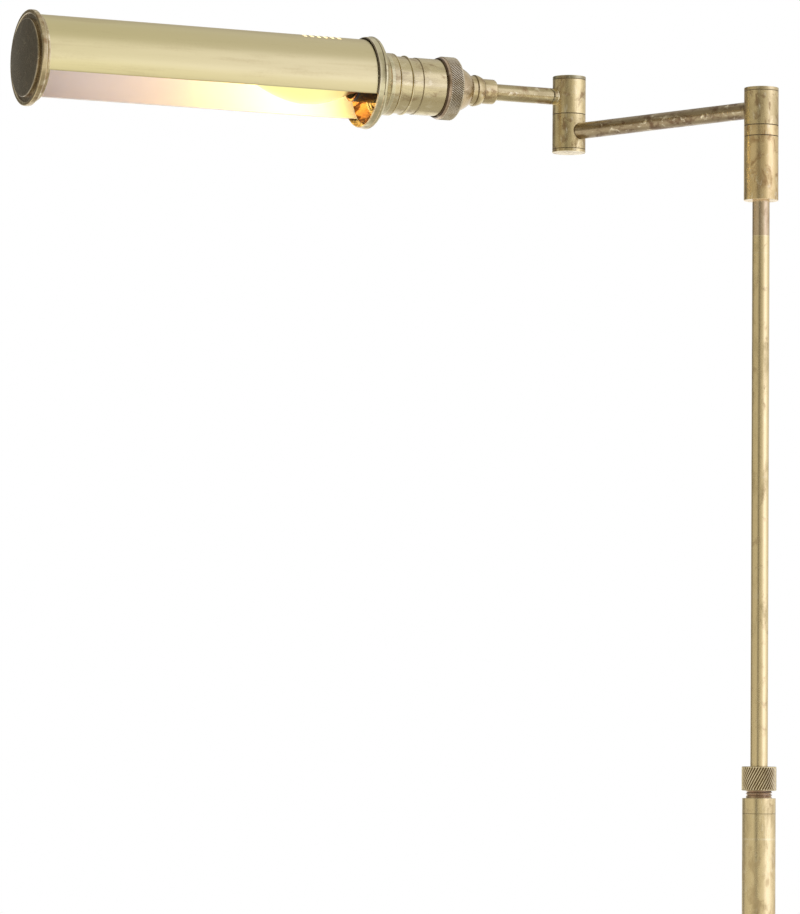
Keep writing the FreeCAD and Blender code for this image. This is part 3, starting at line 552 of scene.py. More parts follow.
def cut_out(piece, hole):
    """Cuts a closed cutter out of a piece and keeps what is left as the piece's own mesh."""
    cut = piece.modifiers.new("hole", "BOOLEAN")
    cut.object = hole
    cut.solver = "EXACT"
    whole = piece.data
    seen = piece.evaluated_get(bpy.context.evaluated_depsgraph_get())
    piece.data = bpy.data.meshes.new_from_object(seen)
    piece.data.name = piece.name
    piece.modifiers.clear()
    bpy.data.meshes.remove(whole)
    bpy.data.objects.remove(hole)
    piece.data.set_sharp_from_angle(angle=math.radians(38))


def drill(piece, axis, radius, start, end, columns):
    """Drills a round hole along an axis, from its start to its end in millimetres."""
    cut_out(piece, turned(
        "drill", axis, [(0, start), (radius, start), (radius, end), (0, end)], edge=0.01,
        columns=columns))


inlet = axis_through((0, 0, inlet_height), (0, 1, 0))
drill(cover, inlet, inlet_radius, cover_radius - 12, cover_radius + 3, 40)
cover_brass = aged_brass("cover_brass", pole, 0.25)
fit(cover, "stand", "aged_brass", cover_brass, "base_cover")


def plain_finish(name, colour, other, size, metallic, roughness, spread, bump):
    """Plain shop finish: two tones in clouds of one size, in mm, with a finer grain in the bump."""
    tree = Tree(bpy.data.materials.new(name))
    pattern = noise(tree, pole, (size, size), 4.0)
    grain = noise(tree, pole, (size / 6, size / 6), 2.0)
    return finished(tree, grain, bump, {
        "Base Color": tree.mix(tree.step(pattern, 0.35, 0.65), colour, other),
        "Metallic": metallic, "Roughness": roughness + spread * (pattern - 0.5)}, 0.0003)


cast_iron = plain_finish(
    "black_cast_iron", (0.030, 0.030, 0.032), (0.055, 0.052, 0.050), size=3.0, metallic=0.0,
    roughness=0.62, spread=0.2, bump=0.7)
felt = plain_finish(
    "green_felt", (0.030, 0.060, 0.035), (0.045, 0.085, 0.050), size=0.8, metallic=0.0,
    roughness=0.95, spread=0.05, bump=1.0)
zinc = plain_finish(
    "zinc_plate", (0.56, 0.57, 0.56), (0.44, 0.46, 0.47), size=4.0, metallic=1.0,
    roughness=0.32, spread=0.15, bump=0.15)
turned_brass = plain_finish(
    "plain_brass", (0.78, 0.60, 0.29), (0.66, 0.49, 0.22), size=5.0, metallic=1.0,
    roughness=0.26, spread=0.15, bump=0.1)
dress(cast_iron, "base_weight")
dress(felt, "base_pad")
dress(zinc, "base_washer", "base_nut", "base_nipple")
dress(turned_brass, "cord_inlet_bush")

# ---- Foot and lower tube ------------------------
# Drawn brass tube on a threaded plug, with a turned collar round its foot. A turned ferrule is
# soldered into its top and carries the coarse thread of the height clamp.

collar_low, collar_high, collar_radius = extent("foot_collar", pole)
tube_low, tube_high, tube_radius = extent("lower_tube", pole)
tube_wall = 1.5
foot_bead = 1.5
collar_top_wall = 2.0
foot_collar = turned("foot_collar_ring", pole, [
    (tube_radius, collar_low),
    (collar_radius - foot_bead, collar_low),
    arc(collar_radius - foot_bead, collar_low + foot_bead, foot_bead, -90, 90),
    (collar_radius - foot_bead - 0.8, collar_low + 2 * foot_bead),
    bow((tube_radius + 5.2, collar_low + 3.0), (tube_radius + 2.6, collar_low + 6.0),
        (tube_radius + collar_top_wall, collar_high - 2.0))[1:],
    (tube_radius + collar_top_wall, collar_high - 0.5),
    (tube_radius + 0.8, collar_high),
    (tube_radius, collar_high)], edge=0.25)
fit(foot_collar, "stand", "aged_brass", aged_brass("foot_collar_brass", pole, 0.5), "foot_collar")

solder_mark = tube_high - 18.9
tube = turned("lower_tube_skin", pole, [
    (tube_radius - tube_wall, tube_low), (tube_radius, tube_low),
    (tube_radius, tube_high), (tube_radius - tube_wall, tube_high)],
    edge=0.14, columns=128, seams=[tube_high])
fit(tube, "stand", "aged_brass", aged_brass(
    "lower_tube_brass", pole, 0.50, deep=(0.46, 0.33, 0.155), marks=[(solder_mark, 1.1)],
    low_stain=solder_mark), "lower_tube")

ferrule_low, thread_top, _ = extent("top_collar", pole)
rod_radius = extent("rod", pole)[2]
ferrule_top = tube_high + 11.5
thread_radius = 9.8
thread_depth = 0.75
thread_pitch = 2.2
thread_lead = 0.4
thread_run_in = 0.5
thread_shown = 6.5
rod_guide_bore = rod_radius + 0.05
collet_bore = 8.0
collet_seat = thread_top - 16.0


def thread(radius, along, angle):
    """Screw thread: the radius falls by depth (1 - cos 2 pi w) / 2, w = t / pitch - f / 2 pi."""
    w = (along - ferrule_top) / thread_pitch - angle / (2 * math.pi)
    start = np.clip((along - ferrule_top - thread_lead) / thread_run_in, 0, 1)
    threaded = (radius > thread_radius - 0.1) & (along <= ferrule_top + thread_shown)
    cut = np.where(threaded, start, 0.0)
    return -cut * thread_depth * (0.5 - 0.5 * np.cos(2 * math.pi * w))


ferrule = turned("top_ferrule", pole, [
    (rod_guide_bore, ferrule_low),
    (tube_radius - tube_wall, ferrule_low),
    (tube_radius - tube_wall, tube_high),
    (tube_radius, tube_high),
    (tube_radius, ferrule_top),
    (thread_radius, ferrule_top),
    straight(thread_radius, ferrule_top + thread_lead, ferrule_top + thread_shown, 64),
    (thread_radius - thread_depth, ferrule_top + thread_shown + 0.1),
    (thread_radius - thread_depth, thread_top),
    (collet_bore, thread_top),
    (collet_bore, collet_seat),
    (rod_guide_bore, collet_seat)], edge=0.14, columns=96, relief=thread, seams=[tube_high])
fit(ferrule, "stand", "aged_brass", aged_brass("ferrule_brass", pole, 0.40), "top_collar")
finish_faces(ferrule, pole, aged_brass(
    "thread_brass", pole, 0.5, bright=(0.50, 0.37, 0.255), dull=(0.28, 0.19, 0.125), deep=grime),
    lambda across, along, *_: along > ferrule_top + 0.3)
dress(turned_brass, "foot_plug", "clamp_collet", "rod_guide")

# ---- Clamp nut ------------------------
# The nut that squeezes the split bush round the rod: turned brass with a coarse slanting knurl
# all round, screwed on the ferrule's thread.

nut_low, nut_high, nut_radius = extent("clamp_nut", pole)
nut_ridges = 38
nut_knurl_depth = 0.65
nut_slope = 1 / (nut_radius * math.tan(math.radians(60)))
nut_knurl_ends = (nut_low + 0.45, nut_high - 0.45)
nut_chamfer = 0.5
nut_lid = 3.0
nut_bore = rod_radius + 0.1
knurl_skin = 0.7


def knurl(low, high, run_out, outer, depth, ridges):
    """Relief of n ridges on the outer side: the radius falls by depth |cos(n f / 2)|^1.3.

    The relief runs out towards the places low and high.
    """
    def relief(radius, along, angle):
        share = np.clip(np.minimum(along - low, high - along) / run_out, 0, 1)
        share = np.where(radius > outer - knurl_skin, share, 0.0)
        return -share * depth * np.abs(np.cos(ridges * angle / 2)) ** 1.3
    return relief


def slant(low, high, slope):
    """Twist that turns the ridges by slope radians per millimetre between two places."""
    return lambda along: (np.clip(along, low, high) - low) * slope


nut = turned("knurled_clamp_nut", pole, [
    (thread_radius, nut_low),
    (nut_radius - nut_chamfer, nut_low),
    straight(nut_radius, *nut_knurl_ends, 34),
    (nut_radius - nut_chamfer, nut_high),
    (nut_bore + nut_chamfer, nut_high),
    (nut_bore, nut_high - nut_chamfer),
    (nut_bore, nut_high - nut_lid),
    (thread_radius, nut_high - nut_lid)],
    edge=0.2, columns=nut_ridges * 8,
    relief=knurl(*nut_knurl_ends, 0.5, nut_radius, nut_knurl_depth, nut_ridges),
    twist=slant(nut_low, nut_high, nut_slope))


def knurled_brass(name, axis, ridge, fresh, polish):
    """Knurled brass: the ridges' tops are rubbed bright, and the valleys hold dark polish."""
    tree = Tree(bpy.data.materials.new(name))
    clouds = noise(tree, axis, (9.0, 7.0), 4.0)
    specks = noise(tree, axis, (0.7, 0.7), 2.0)
    high = tree.step(tree.add("Attribute", {"attribute_name": "ridge"})["Fac"], *ridge)
    colour = tree.mix(high, polish, tree.mix(tree.step(clouds, 0.4, 0.65) * 0.5, fresh, olive))
    roughness = 0.42 - 0.20 * high + 0.12 * (specks - 0.5)
    return finished(
        tree, specks, 0.12, {"Base Color": colour, "Metallic": 1.0, "Roughness": roughness})


def mark_ridges(piece, axis, depth):
    """Stores how high each point of a knurled piece stands: 1 on the ridges, 0 in the valleys."""
    away = rows_of(piece.data.vertices, "co") * 1000 - axis.start
    across = np.linalg.norm(away - (away @ axis.out)[:, None] * axis.out, axis=1)
    level = np.clip(1 - (across.max() - across) / depth, 0, 1).astype(np.float32)
    piece.data.attributes.new("ridge", "FLOAT", "POINT").data.foreach_set("value", level)


mark_ridges(nut, pole, nut_knurl_depth)
fit(nut, "clamp_nut", "aged_brass", knurled_brass(
    "nut_brass", pole, (0.10, 0.80), (0.84, 0.72, 0.45), (0.15, 0.095, 0.045)), "clamp_nut")

# ---- Rod ------------------------
# Thin drawn tube that slides in the lower one and is screwed into the hub. It is cleaner than
# the rest, but browned by the heat next to the hub, with two faint rings where it was held.

rod_low, rod_high, _ = extent("rod", pole)
rod_wall = 1.5
hub_low = extent("hub_sleeve", pole)[0]
rod_marks = [(hub_low - 27.2, 0.5), (hub_low - 40.0, 0.4)]
browned_from = hub_low - 26.6
rod = turned("sliding_rod", pole, [
    (rod_radius - rod_wall, rod_low), (rod_radius, rod_low), (rod_radius, browned_from),
    (rod_radius, rod_high), (rod_radius - rod_wall, rod_high)], edge=0.15, columns=96)
fit(rod, "mast", "aged_brass", aged_brass("rod_brass", pole, 0.25, marks=rod_marks), "rod")
finish_faces(rod, pole, aged_brass(
    "rod_top_brass", pole, 0.4, bright=(0.62, 0.475, 0.29), dull=(0.47, 0.345, 0.20),
    deep=(0.34, 0.22, 0.11)),
    lambda across, along, outward, *_: (along > browned_from) & (outward > 0))

# ---- Hub ------------------------
# A turned sleeve on the rod, a loose ring, and the barrel of the lower arm, with thin dark
# washers between them. A hollow pin runs through all three, and a cap closes the top.


def barrel(name, node, axis, bore):
    """Plain ring-shaped turning with the length and outside of its CAD node."""
    low, high, radius = extent(node, axis)
    return turned(
        name, axis, [(bore, low), (radius, low), (radius, high), (bore, high)], 0.12,
        seams=[low, high])


sleeve_brass = aged_brass(
    "hub_brass", pole, 0.85, bright=(0.77, 0.59, 0.30), dull=(0.53, 0.385, 0.165),
    deep=(0.36, 0.22, 0.09))
sleeve_low, sleeve_high, barrel_radius = extent("hub_sleeve", pole)
socket_depth = 25.0
sleeve = turned("hub_sleeve_body", pole, [
    (rod_radius, sleeve_low), (barrel_radius, sleeve_low), (barrel_radius, sleeve_high),
    (nipple_radius, sleeve_high), (nipple_radius, sleeve_low + socket_depth),
    (rod_radius, sleeve_low + socket_depth)], edge=0.12, columns=128, seams=[sleeve_high])
grub_height = 12.0
grub_radius = 2.0
grub = axis_through((0, 0, sleeve_low + grub_height), (0, 1, 0))
drill(sleeve, grub, grub_radius, rod_radius - 1.0, barrel_radius + 2, 32)
fit(sleeve, "mast", "aged_brass", sleeve_brass, "hub_sleeve")
fit(barrel("hub_ring_body", "hub_ring", pole, nipple_radius), "mast", "aged_brass",
    sleeve_brass, "hub_ring")
loose_bore = nipple_radius + 0.05
fit(barrel("hub_barrel_body", "hub_barrel", pole, loose_bore), "lower_arm", "aged_brass",
    aged_brass("hub_barrel_brass", pole, 0.90), "hub_barrel")
fibre = plain_finish(
    "dark_fibre", (0.060, 0.040, 0.025), (0.10, 0.065, 0.04), size=0.7, metallic=0.0,
    roughness=0.7, spread=0.1, bump=0.4)
dress(zinc, "hub_grub_screw", "hub_spindle", "hub_spring_washer", "hub_spindle_nut")
dress(fibre, "hub_lower_washer", "hub_upper_washer")


spigot = 1.6
spigot_radius = 9.0


def barrel_lid(name, node, axis, on_top):
    """Round lid whose spigot sits in a barrel, below a top lid and above a bottom one."""
    low, high, radius = extent(node, axis)
    if on_top:
        seam = low + spigot
        steps = [(0, low), (spigot_radius, low), (spigot_radius, seam), (radius, seam),
                 (radius, high), (0, high)]
    else:
        seam = high - spigot
        steps = [(0, low), (radius, low), (radius, seam), (spigot_radius, seam),
                 (spigot_radius, high), (0, high)]
    return turned(name, axis, steps, edge=0.35, seams=[seam])


fit(barrel_lid("hub_lid", "hub_cap", pole, True), "lower_arm", "aged_brass",
    aged_brass("hub_lid_brass", pole, 0.7, bright=(0.60, 0.48, 0.26)), "hub_cap")

# ---- Lower arm ------------------------
# A drawn tube whose ends are cut to the round of the two barrels and brazed to them. It is the
# most tarnished piece, in olive and brown clouds.

joints = {joint["name"]: joint for joint in frame["joints"]}
elbow_place = np.array(joints["elbow_swing"]["pos_m"]) * 1000
elbow = axis_through((elbow_place[0], elbow_place[1], 0), (0, 0, 1))
lower_height = joints["arm_swing"]["pos_m"][2] * 1000
arm_radius = 6.4
braze_height = 0.2
braze_reach = 0.5
arm_inner_end = 8.0
arm_columns = 64


def brazed_arm(name, start, end, ends_in_barrel, lip_wear):
    """Tube from one place to another, with a small fillet of braze where it meets a barrel.

    At angle f its end lies on the barrel, sqrt(R^2 - (r cos f)^2) from the barrel's axis, and at
    distance s from there its radius is r + height exp(-s / reach). Lip wear is how pale (above 0)
    or dark (below 0) the fillet's edge is. Where the tube meets the barrel it is painted dark, as
    contact shade.
    """
    start, end = np.array(start, float), np.array(end, float)
    length = np.linalg.norm(end - start)
    axis = axis_through(start, (end - start) / length)
    angle = np.arange(arm_columns)[None, :] * 2 * math.pi / arm_columns
    full = np.ones((1, arm_columns))
    # rings of points at these distances from the barrel's skin, closer where the braze curves
    near = np.array([-2.0, 0.0, 0.15, 0.35, 0.6, 0.9, 1.3, 1.8, 2.5, 3.5, 5.0])[:, None]
    swell = arm_radius + braze_height * np.exp(-np.clip(near, 0, None) / braze_reach)
    seat = np.sqrt(barrel_radius ** 2 - (swell * np.cos(angle)) ** 2)
    near_along = seat + near
    # Painted shade: the ring at the barrel's skin is dark for the shade where tube and barrel meet.
    wear_and_contact_shade = np.interp(near[:, 0], [0.0, 0.2, 0.4, 0.9, 1.3], [-1.0, -0.6, lip_wear, lip_wear, 0.0])
    middle = np.linspace(0.1, 0.9, 9)[:, None] * length * full
    along_parts = [arm_inner_end * full, near_along, middle]
    radius_parts = [0 * full, swell * full, arm_radius + 0 * middle]
    worn_parts = [[0.0], wear_and_contact_shade, 0 * middle[:, 0]]
    if ends_in_barrel:
        along_parts += [length - near_along[::-1], (length - arm_inner_end) * full]
        radius_parts += [(swell * full)[::-1], 0 * full]
        worn_parts += [wear_and_contact_shade[::-1], [0.0]]
    else:
        along_parts += [length * full, length * full]
        radius_parts += [arm_radius * full, 0 * full]
        worn_parts += [[0.0], [0.0]]
    grid = round_axis(axis, angle, np.vstack(radius_parts), np.vstack(along_parts))
    return skin(name, grid, False, np.concatenate(worn_parts)), axis


lower_arm, lower_axis = brazed_arm(
    "lower_arm", (0, 0, lower_height), (elbow_place[0], elbow_place[1], lower_height), True, -0.9)
fit(lower_arm, "lower_arm", "aged_brass", aged_brass(
    "lower_arm_brass", lower_axis, 1.0, bright=(0.36, 0.28, 0.16), dull=(0.26, 0.19, 0.105),
    deep=(0.17, 0.10, 0.05)), "lower_arm_tube")

# ---- Elbow ------------------------
# Two turned barrels of one diameter, one on each arm, on a hollow pin with a fibre washer
# between them, and a lid at each end.

elbow_brass = aged_brass("elbow_brass", elbow, 0.95, bright=(0.74, 0.60, 0.31))
fit(barrel("elbow_lower_body", "elbow_lower_barrel", elbow, nipple_radius), "lower_arm",
    "aged_brass", elbow_brass, "elbow_lower_barrel")
fit(barrel_lid("elbow_bottom_lid", "elbow_bottom_cap", elbow, False), "lower_arm",
    "aged_brass", elbow_brass, "elbow_bottom_cap")
fit(barrel("elbow_upper_body", "elbow_upper_barrel", elbow, loose_bore), "upper_arm",
    "aged_brass", aged_brass("elbow_upper_brass", elbow, 0.8, bright=(0.78, 0.635, 0.335)),
    "elbow_upper_barrel")
fit(barrel_lid("elbow_top_lid", "elbow_top_cap", elbow, True), "upper_arm",
    "aged_brass", aged_brass(
        "elbow_lid_brass", elbow, 0.7, bright=(0.42, 0.37, 0.22), dull=(0.30, 0.26, 0.15)),
    "elbow_top_cap")
dress(zinc, "elbow_spindle", "elbow_spring_washer", "elbow_spindle_nut")
dress(fibre, "elbow_washer", "swivel_washer")

# ---- Upper arm, neck and bell ------------------------
# A short brazed tube, a turned neck with a bead, and the flared bell of the shade's swivel, with
# its hollow screw and nut inside.

head_direction = np.array(joints["shade_turn"]["axis"])
head = axis_through(elbow_place, head_direction)
neck_start, neck_end, neck_radius = extent("neck_collar", head)
arm_end = extent("upper_arm_tube", head)[1]
upper_arm, _ = brazed_arm(
    "upper_arm", elbow_place, elbow_place + arm_end * head_direction, False, 0.9)
fit(upper_arm, "upper_arm", "aged_brass", aged_brass(
    "upper_arm_brass", head, 0.9, bright=(0.52, 0.43, 0.23), dull=(0.36, 0.285, 0.14)),
    "upper_arm_tube")

neck_plain_radius = 9.6
neck_tail_radius = 11.4
neck_tail = 3.8
neck_round = 1.6
neck_bead_end = neck_end - neck_tail
neck_bead_start = neck_bead_end - 7.0
neck = turned("turned_neck", head, [
    (arm_radius, neck_start),
    (neck_plain_radius - neck_round, neck_start),
    arc(neck_plain_radius - neck_round, neck_start + neck_round, neck_round, -90, 0),
    (neck_plain_radius, neck_bead_start),
    bow((neck_plain_radius + 0.9, neck_bead_start + 0.7), (neck_radius - 0.5, neck_bead_end - 3.4),
        (neck_radius, neck_bead_end - 0.9), 7),
    (neck_radius, neck_bead_end - 0.4),
    (neck_tail_radius, neck_bead_end),
    (neck_tail_radius, neck_end),
    (nipple_radius, neck_end),
    (nipple_radius, arm_end),
    (arm_radius, arm_end)], edge=0.22, seams=[neck_bead_start, neck_bead_end])
fit(neck, "upper_arm", "aged_brass", aged_brass(
    "neck_brass", head, 0.8, bright=(0.60, 0.485, 0.26), dull=(0.44, 0.345, 0.17)), "neck_collar")

bell_start, bell_end, bell_radius = extent("bell", head)
bell_shoulder = bell_start + 14.4
shoulder_radius = 19.2
bell_wall = 1.5
bell_floor = bell_start + 2.0
bell = turned("swivel_bell", head, [
    (nipple_radius, bell_start),
    bow((neck_tail_radius, bell_start), (neck_tail_radius + 4.5, bell_start + 6.2),
        (shoulder_radius, bell_shoulder), 13),
    (bell_radius, bell_shoulder),
    (bell_radius, bell_end),
    (bell_radius - bell_wall, bell_end),
    (bell_radius - bell_wall, bell_shoulder + bell_wall),
    (shoulder_radius - bell_wall, bell_shoulder),
    (neck_tail_radius, bell_floor),
    (nipple_radius, bell_floor)], edge=0.2, seams=[bell_start, bell_shoulder])
fit(bell, "upper_arm", "aged_brass", aged_brass(
    "bell_brass", head, 0.5, bright=(0.52, 0.405, 0.24), dull=(0.40, 0.305, 0.17)), "bell")
dress(zinc, "swivel_nipple", "swivel_nut")

# ---- Knurled ring ------------------------
# The lock ring of the swivel, with a fine slanting knurl and a smooth lip that falls off towards
# the lampholder.

ring_start, ring_end, ring_radius = extent("knurled_ring", head)
shell_radius = 22.0
ring_chamfer = 0.6
lip = ring_end - 2.9
knurl_start = ring_start + 0.8
knurl_end = lip - 0.2
ring_ridges = 104
ring_knurl_depth = 0.6
ring_slope = -0.7 / ring_radius
ring_bell_bore = bell_radius + 0.05
ring_shell_bore = shell_radius + 0.15
lock_ring = turned("knurled_lock_ring", head, [
    (ring_bell_bore, ring_start),
    (ring_radius - ring_chamfer, ring_start),
    (ring_radius, ring_start + ring_chamfer),
    straight(ring_radius, knurl_start, knurl_end, 28),
    (ring_radius - ring_chamfer, lip),
    bow((ring_radius - 0.4, lip + 0.2), (ring_radius - 0.7, lip + 1.3),
        (ring_radius - 1.4, ring_end), 7),
    (ring_shell_bore, ring_end),
    (ring_shell_bore, bell_end),
    (ring_bell_bore, bell_end)],
    edge=0.15, columns=ring_ridges * 6, seams=[ring_end],
    relief=knurl(knurl_start, knurl_end, 0.4, ring_radius, ring_knurl_depth, ring_ridges),
    twist=slant(knurl_start, lip, ring_slope))
mark_ridges(lock_ring, head, ring_knurl_depth)
fit(lock_ring, "knurled_ring", "aged_brass", knurled_brass(
    "lock_ring_brass", head, (0.15, 0.85), (0.80, 0.71, 0.52), (0.10, 0.065, 0.040)),
    "knurled_ring")
finish_faces(lock_ring, head, aged_brass(
    "lock_ring_lip_brass", head, 0.6, bright=(0.52, 0.39, 0.26), dull=(0.33, 0.235, 0.15)),
    lambda across, along, *_: along > lip - 0.1)
# Painted shade: the ring's front face and the end of its lip next to the casing are painted
# near-black for the shade in the gap.
finish_faces(lock_ring, head, aged_brass(
    "lock_ring_painted_shade", head, 0.8, bright=(0.11, 0.07, 0.04), dull=(0.07, 0.042, 0.026),
    deep=grime),
    lambda across, along, *_: (along > ring_end - 1.3) & (across > shell_radius + 0.1))

# ---- Lampholder casing ------------------------
# Turned brass body that clamps the shade's cup to the bulb holder: a plain barrel, a fine step, a
# narrow bead, a bead with a groove before it, and a wider collar in front.

shell_start, shell_end, shell_front_radius = extent("holder_shell", head)
shell_wall = 1.2
waist_radius = 21.5
waist_start = shell_start + 24.6
bead_start = waist_start + 7.8
bead_length = 2.0
collar_start = bead_start + 10.7
collar_bead_radius = 23.6
collar_groove = collar_start + 2.0
holder_radius = 13.2
front_wall = shell_end - 1.5
casing = turned("holder_casing", head, [
    (loose_bore, shell_start),
    (shell_radius, shell_start),
    (shell_radius, waist_start - 0.1),
    (waist_radius, waist_start + 0.2),
    (waist_radius, bead_start - 0.2),
    bow((waist_radius, bead_start), (23.0, bead_start + bead_length / 2),
        (shell_radius, bead_start + bead_length), 9),
    (shell_radius, collar_start - 0.1),
    (shell_radius - 0.1, collar_start),
    bow((shell_radius, collar_start), (collar_bead_radius + 0.4, collar_start + 0.9),
        (collar_bead_radius - 0.7, collar_groove - 0.1), 9),
    (shell_front_radius - 0.9, collar_groove),
    (shell_front_radius, collar_groove + 0.4),
    (shell_front_radius, shell_end),
    (holder_radius, shell_end),
    (holder_radius, front_wall),
    (waist_radius - shell_wall, front_wall),
    (waist_radius - shell_wall, shell_start + shell_wall),
    (loose_bore, shell_start + shell_wall)], edge=0.22, columns=128,
    seams=[waist_start, bead_start - 0.2, bead_start + bead_length + 0.1, collar_start - 0.2,
           collar_groove])
fit(casing, "head", "aged_brass", aged_brass(
    "casing_brass", head, 0.45, bright=(0.60, 0.505, 0.28), dull=(0.43, 0.35, 0.21)),
    "holder_shell")

# ---- Gallery cup ------------------------
# Spun cup behind the shade: satin outside with a bead and a rim, and polished inside, where it
# mirrors the bulb and has copper and near-black clouds, partly painted reflection. Its lip is
# painted pale where the shade's opening bares it, and painted near-black as shade elsewhere.

cup_start, cup_end, cup_bead_radius = extent("gallery_cup", head)

# the shade's opening, in degrees round the head's axis from its level near side, up being plus
opening_near = -22.0
opening_far = -128.7
shade_start, shade_end, shade_radius = extent("shade_tube", head)
shade_wall = 0.8
cup_straight = 3.0
cup_bead_start = cup_start + 11.0
cup_rim_start = cup_bead_start + 3.0
cup_rim_radius = 35.3
cup_front_radius = 34.9
cup_wall = 0.9
cup_chamfer = 0.8
cup_dark_radius = 24.2
cup_back = cup_start + 1.2
cup_flare = cup_start + cup_straight + 0.3
cup = turned("gallery_cup_skin", head, [
    (holder_radius, cup_start),
    (shell_front_radius, cup_start),
    (shell_front_radius + 0.1, cup_flare - 0.3),
    (shell_front_radius - 0.2, cup_flare),
    bow((shell_front_radius + 0.5, cup_flare + 0.2), (29.0, cup_start + 6.8),
        (cup_bead_radius - 0.9, cup_bead_start), 13),
    bow((cup_bead_radius - 0.6, cup_bead_start + 0.3), (cup_bead_radius, cup_bead_start + 1.6),
        (cup_rim_radius, cup_rim_start), 7),
    (cup_front_radius, cup_end - cup_chamfer),
    (cup_front_radius - 0.6, cup_end),
    (cup_front_radius - cup_wall, cup_end),
    (cup_front_radius - cup_wall, shade_start),
    bow((shade_radius - shade_wall - 0.3, shade_start), (26.6, shade_start - 6.7),
        (22.8, cup_back), 11),
    (holder_radius, cup_back)], edge=0.25, columns=160, seams=[cup_flare])


def polished_brass(name, axis):
    """Polished brass in copper and near-black clouds, with fine turning rings; the near-black
    clouds are painted dark reflection.
    """
    tree = Tree(bpy.data.materials.new(name))
    rings = noise(tree, axis, (0.8, 30.0), 2.0)
    clouds = noise(tree, axis, (14.0, 9.0), 2.0, 0.5, 0.8)
    # Painted reflection: the near-black clouds stand in for the dark things that the polish
    # mirrors.
    colour = tree.mix(tree.step(clouds, 0.40, 0.54), (0.58, 0.28, 0.10), (0.10, 0.038, 0.016))
    return finished(tree, rings + clouds, 0.06, {
        "Base Color": colour, "Metallic": 1.0, "Roughness": 0.10 + 0.10 * clouds})


fit(cup, "head", "polished_brass", aged_brass(
    "cup_brass", head, 0.45, bright=(0.62, 0.555, 0.34), dull=(0.47, 0.41, 0.23)), "gallery_cup")


def in_cup(across, along):
    """Inside the cup's wall, and clear of the neck that the wall has at its back."""
    return (along > cup_start + 0.6) & (
        (across < shell_front_radius - 0.3) | (along > cup_flare + 0.5))


def on_lip(across, along, outward, forward):
    """The cup's inner lip, round the shade's end."""
    return ((across > shade_radius - 0.5) & (along > shade_start - 0.6)
            & ((outward < -0.2) | (forward > 0.3)))


def bared(angle):
    """The part of the round that the shade's opening leaves bare."""
    return (angle <= opening_near) & (angle >= opening_far - 15)


def hollow_faces(across, along, outward, forward, angle):
    """The cup's inside, from the seat of the shade to the bulb holder."""
    return (in_cup(across, along) & (across < shade_radius - 0.5)
            & ((outward < -0.2) | (forward > 0.5)))


def painted_shade_faces(across, along, outward, forward, angle):
    """The cup's depth round the bulb holder, and its lip behind the shade, painted near-black as
    shade.
    """
    deep_inside = (in_cup(across, along) & (across < cup_dark_radius)
                   & (along < shade_start - 5.0) & (forward > 0.1))
    return deep_inside | (on_lip(across, along, outward, forward) & ~bared(angle))


def bare_lip_faces(across, along, outward, forward, angle):
    """The cup's lip in the shade's opening, painted pale as the light it mirrors."""
    return on_lip(across, along, outward, forward) & bared(angle)


finish_faces(cup, head, polished_brass("cup_inside", head), hollow_faces)
# Painted shade: near-black where the shade's end and the bulb holder shade the cup.
finish_faces(cup, head, aged_brass(
    "cup_painted_shade", head, 0.8, bright=(0.13, 0.09, 0.045), dull=(0.075, 0.048, 0.026),
    deep=grime), painted_shade_faces)
# Painted light: a pale, half-metallic finish on the bared lip stands in for the lit enamel it
# mirrors.
finish_faces(cup, head, plain_finish(
    "cup_lip_painted_light", (0.80, 0.63, 0.36), (0.52, 0.36, 0.17), size=3.0, metallic=0.35,
    roughness=0.35, spread=0.15, bump=0.2), bare_lip_faces)
dress(turned_brass, "shade_ring", "bulb_cap", "screw_contact", "centre_contact", "bulb_tip")

# ---- Shade ------------------------
# Brass tube with about a third of its round cut away below and six slots above the bulb. It is pale
# and brushed outside, enamelled off-white inside, with rounded cut edges and slot faces painted in
# enamel as light.

slot_count = 6
slot_width = 2.5
slot_pitch = 5.62
slot_first = shade_start + 30.5
slot_half_span = 38.0
shade_bore = shade_radius - shade_wall
wall_middle = shade_radius - shade_wall / 2
around = np.radians(np.linspace(opening_near, opening_far + 360, 181))
lip_turn = np.linspace(0, math.pi, 7)[1:-1]
lip_out = shade_wall / 2 * np.cos(lip_turn)
lip_round = shade_wall / 2 * np.sin(lip_turn) / wall_middle
ring_angle = np.concatenate([around, around[-1] + lip_round, around[::-1], around[0] - lip_round])
ring_reach = np.concatenate([
    np.full(around.size, shade_radius), wall_middle + lip_out,
    np.full(around.size, shade_bore), wall_middle - lip_out])
shade_rows = np.concatenate([
    [shade_start, shade_start, shade_start + 0.4],
    np.linspace(shade_start + 20, shade_end - 20, 12), [shade_end - 0.4, shade_end, shade_end]])
drawn_in = np.zeros((shade_rows.size, 1))
drawn_in[[0, -1]] = 1.0


def meshed(name, points, faces):
    """Closed piece of points in millimetres, with its doubled points merged."""
    mesh = bpy.data.meshes.new(name)
    mesh.from_pydata((points.reshape(-1, 3) / 1000).tolist(), [], faces)
    work = bmesh.new()
    work.from_mesh(mesh)
    bmesh.ops.remove_doubles(work, verts=work.verts, dist=2e-6)
    bmesh.ops.recalc_face_normals(work, faces=work.faces)
    work.to_mesh(mesh)
    work.free()
    return closed_piece(name, mesh)


def ribbon(rows, columns, closed_ends=False):
    """Faces over a grid of points whose columns close round, and if asked a face at each end."""
    index = np.arange(rows * columns).reshape(rows, columns)
    faces = quads_between(index).reshape(-1, 4).tolist()
    if closed_ends:
        faces += [index[0, ::-1].tolist(), index[-1].tolist()]
    return faces


shade_grid = round_axis(
    head, ring_angle[None, :] + 0 * drawn_in, ring_reach + drawn_in * (wall_middle - ring_reach),
    shade_rows[:, None] + 0 * ring_angle)
shade = meshed("shade_shell", shade_grid, ribbon(shade_rows.size, ring_angle.size))


slot_middle = math.radians((opening_near + opening_far) / 2 + 180)


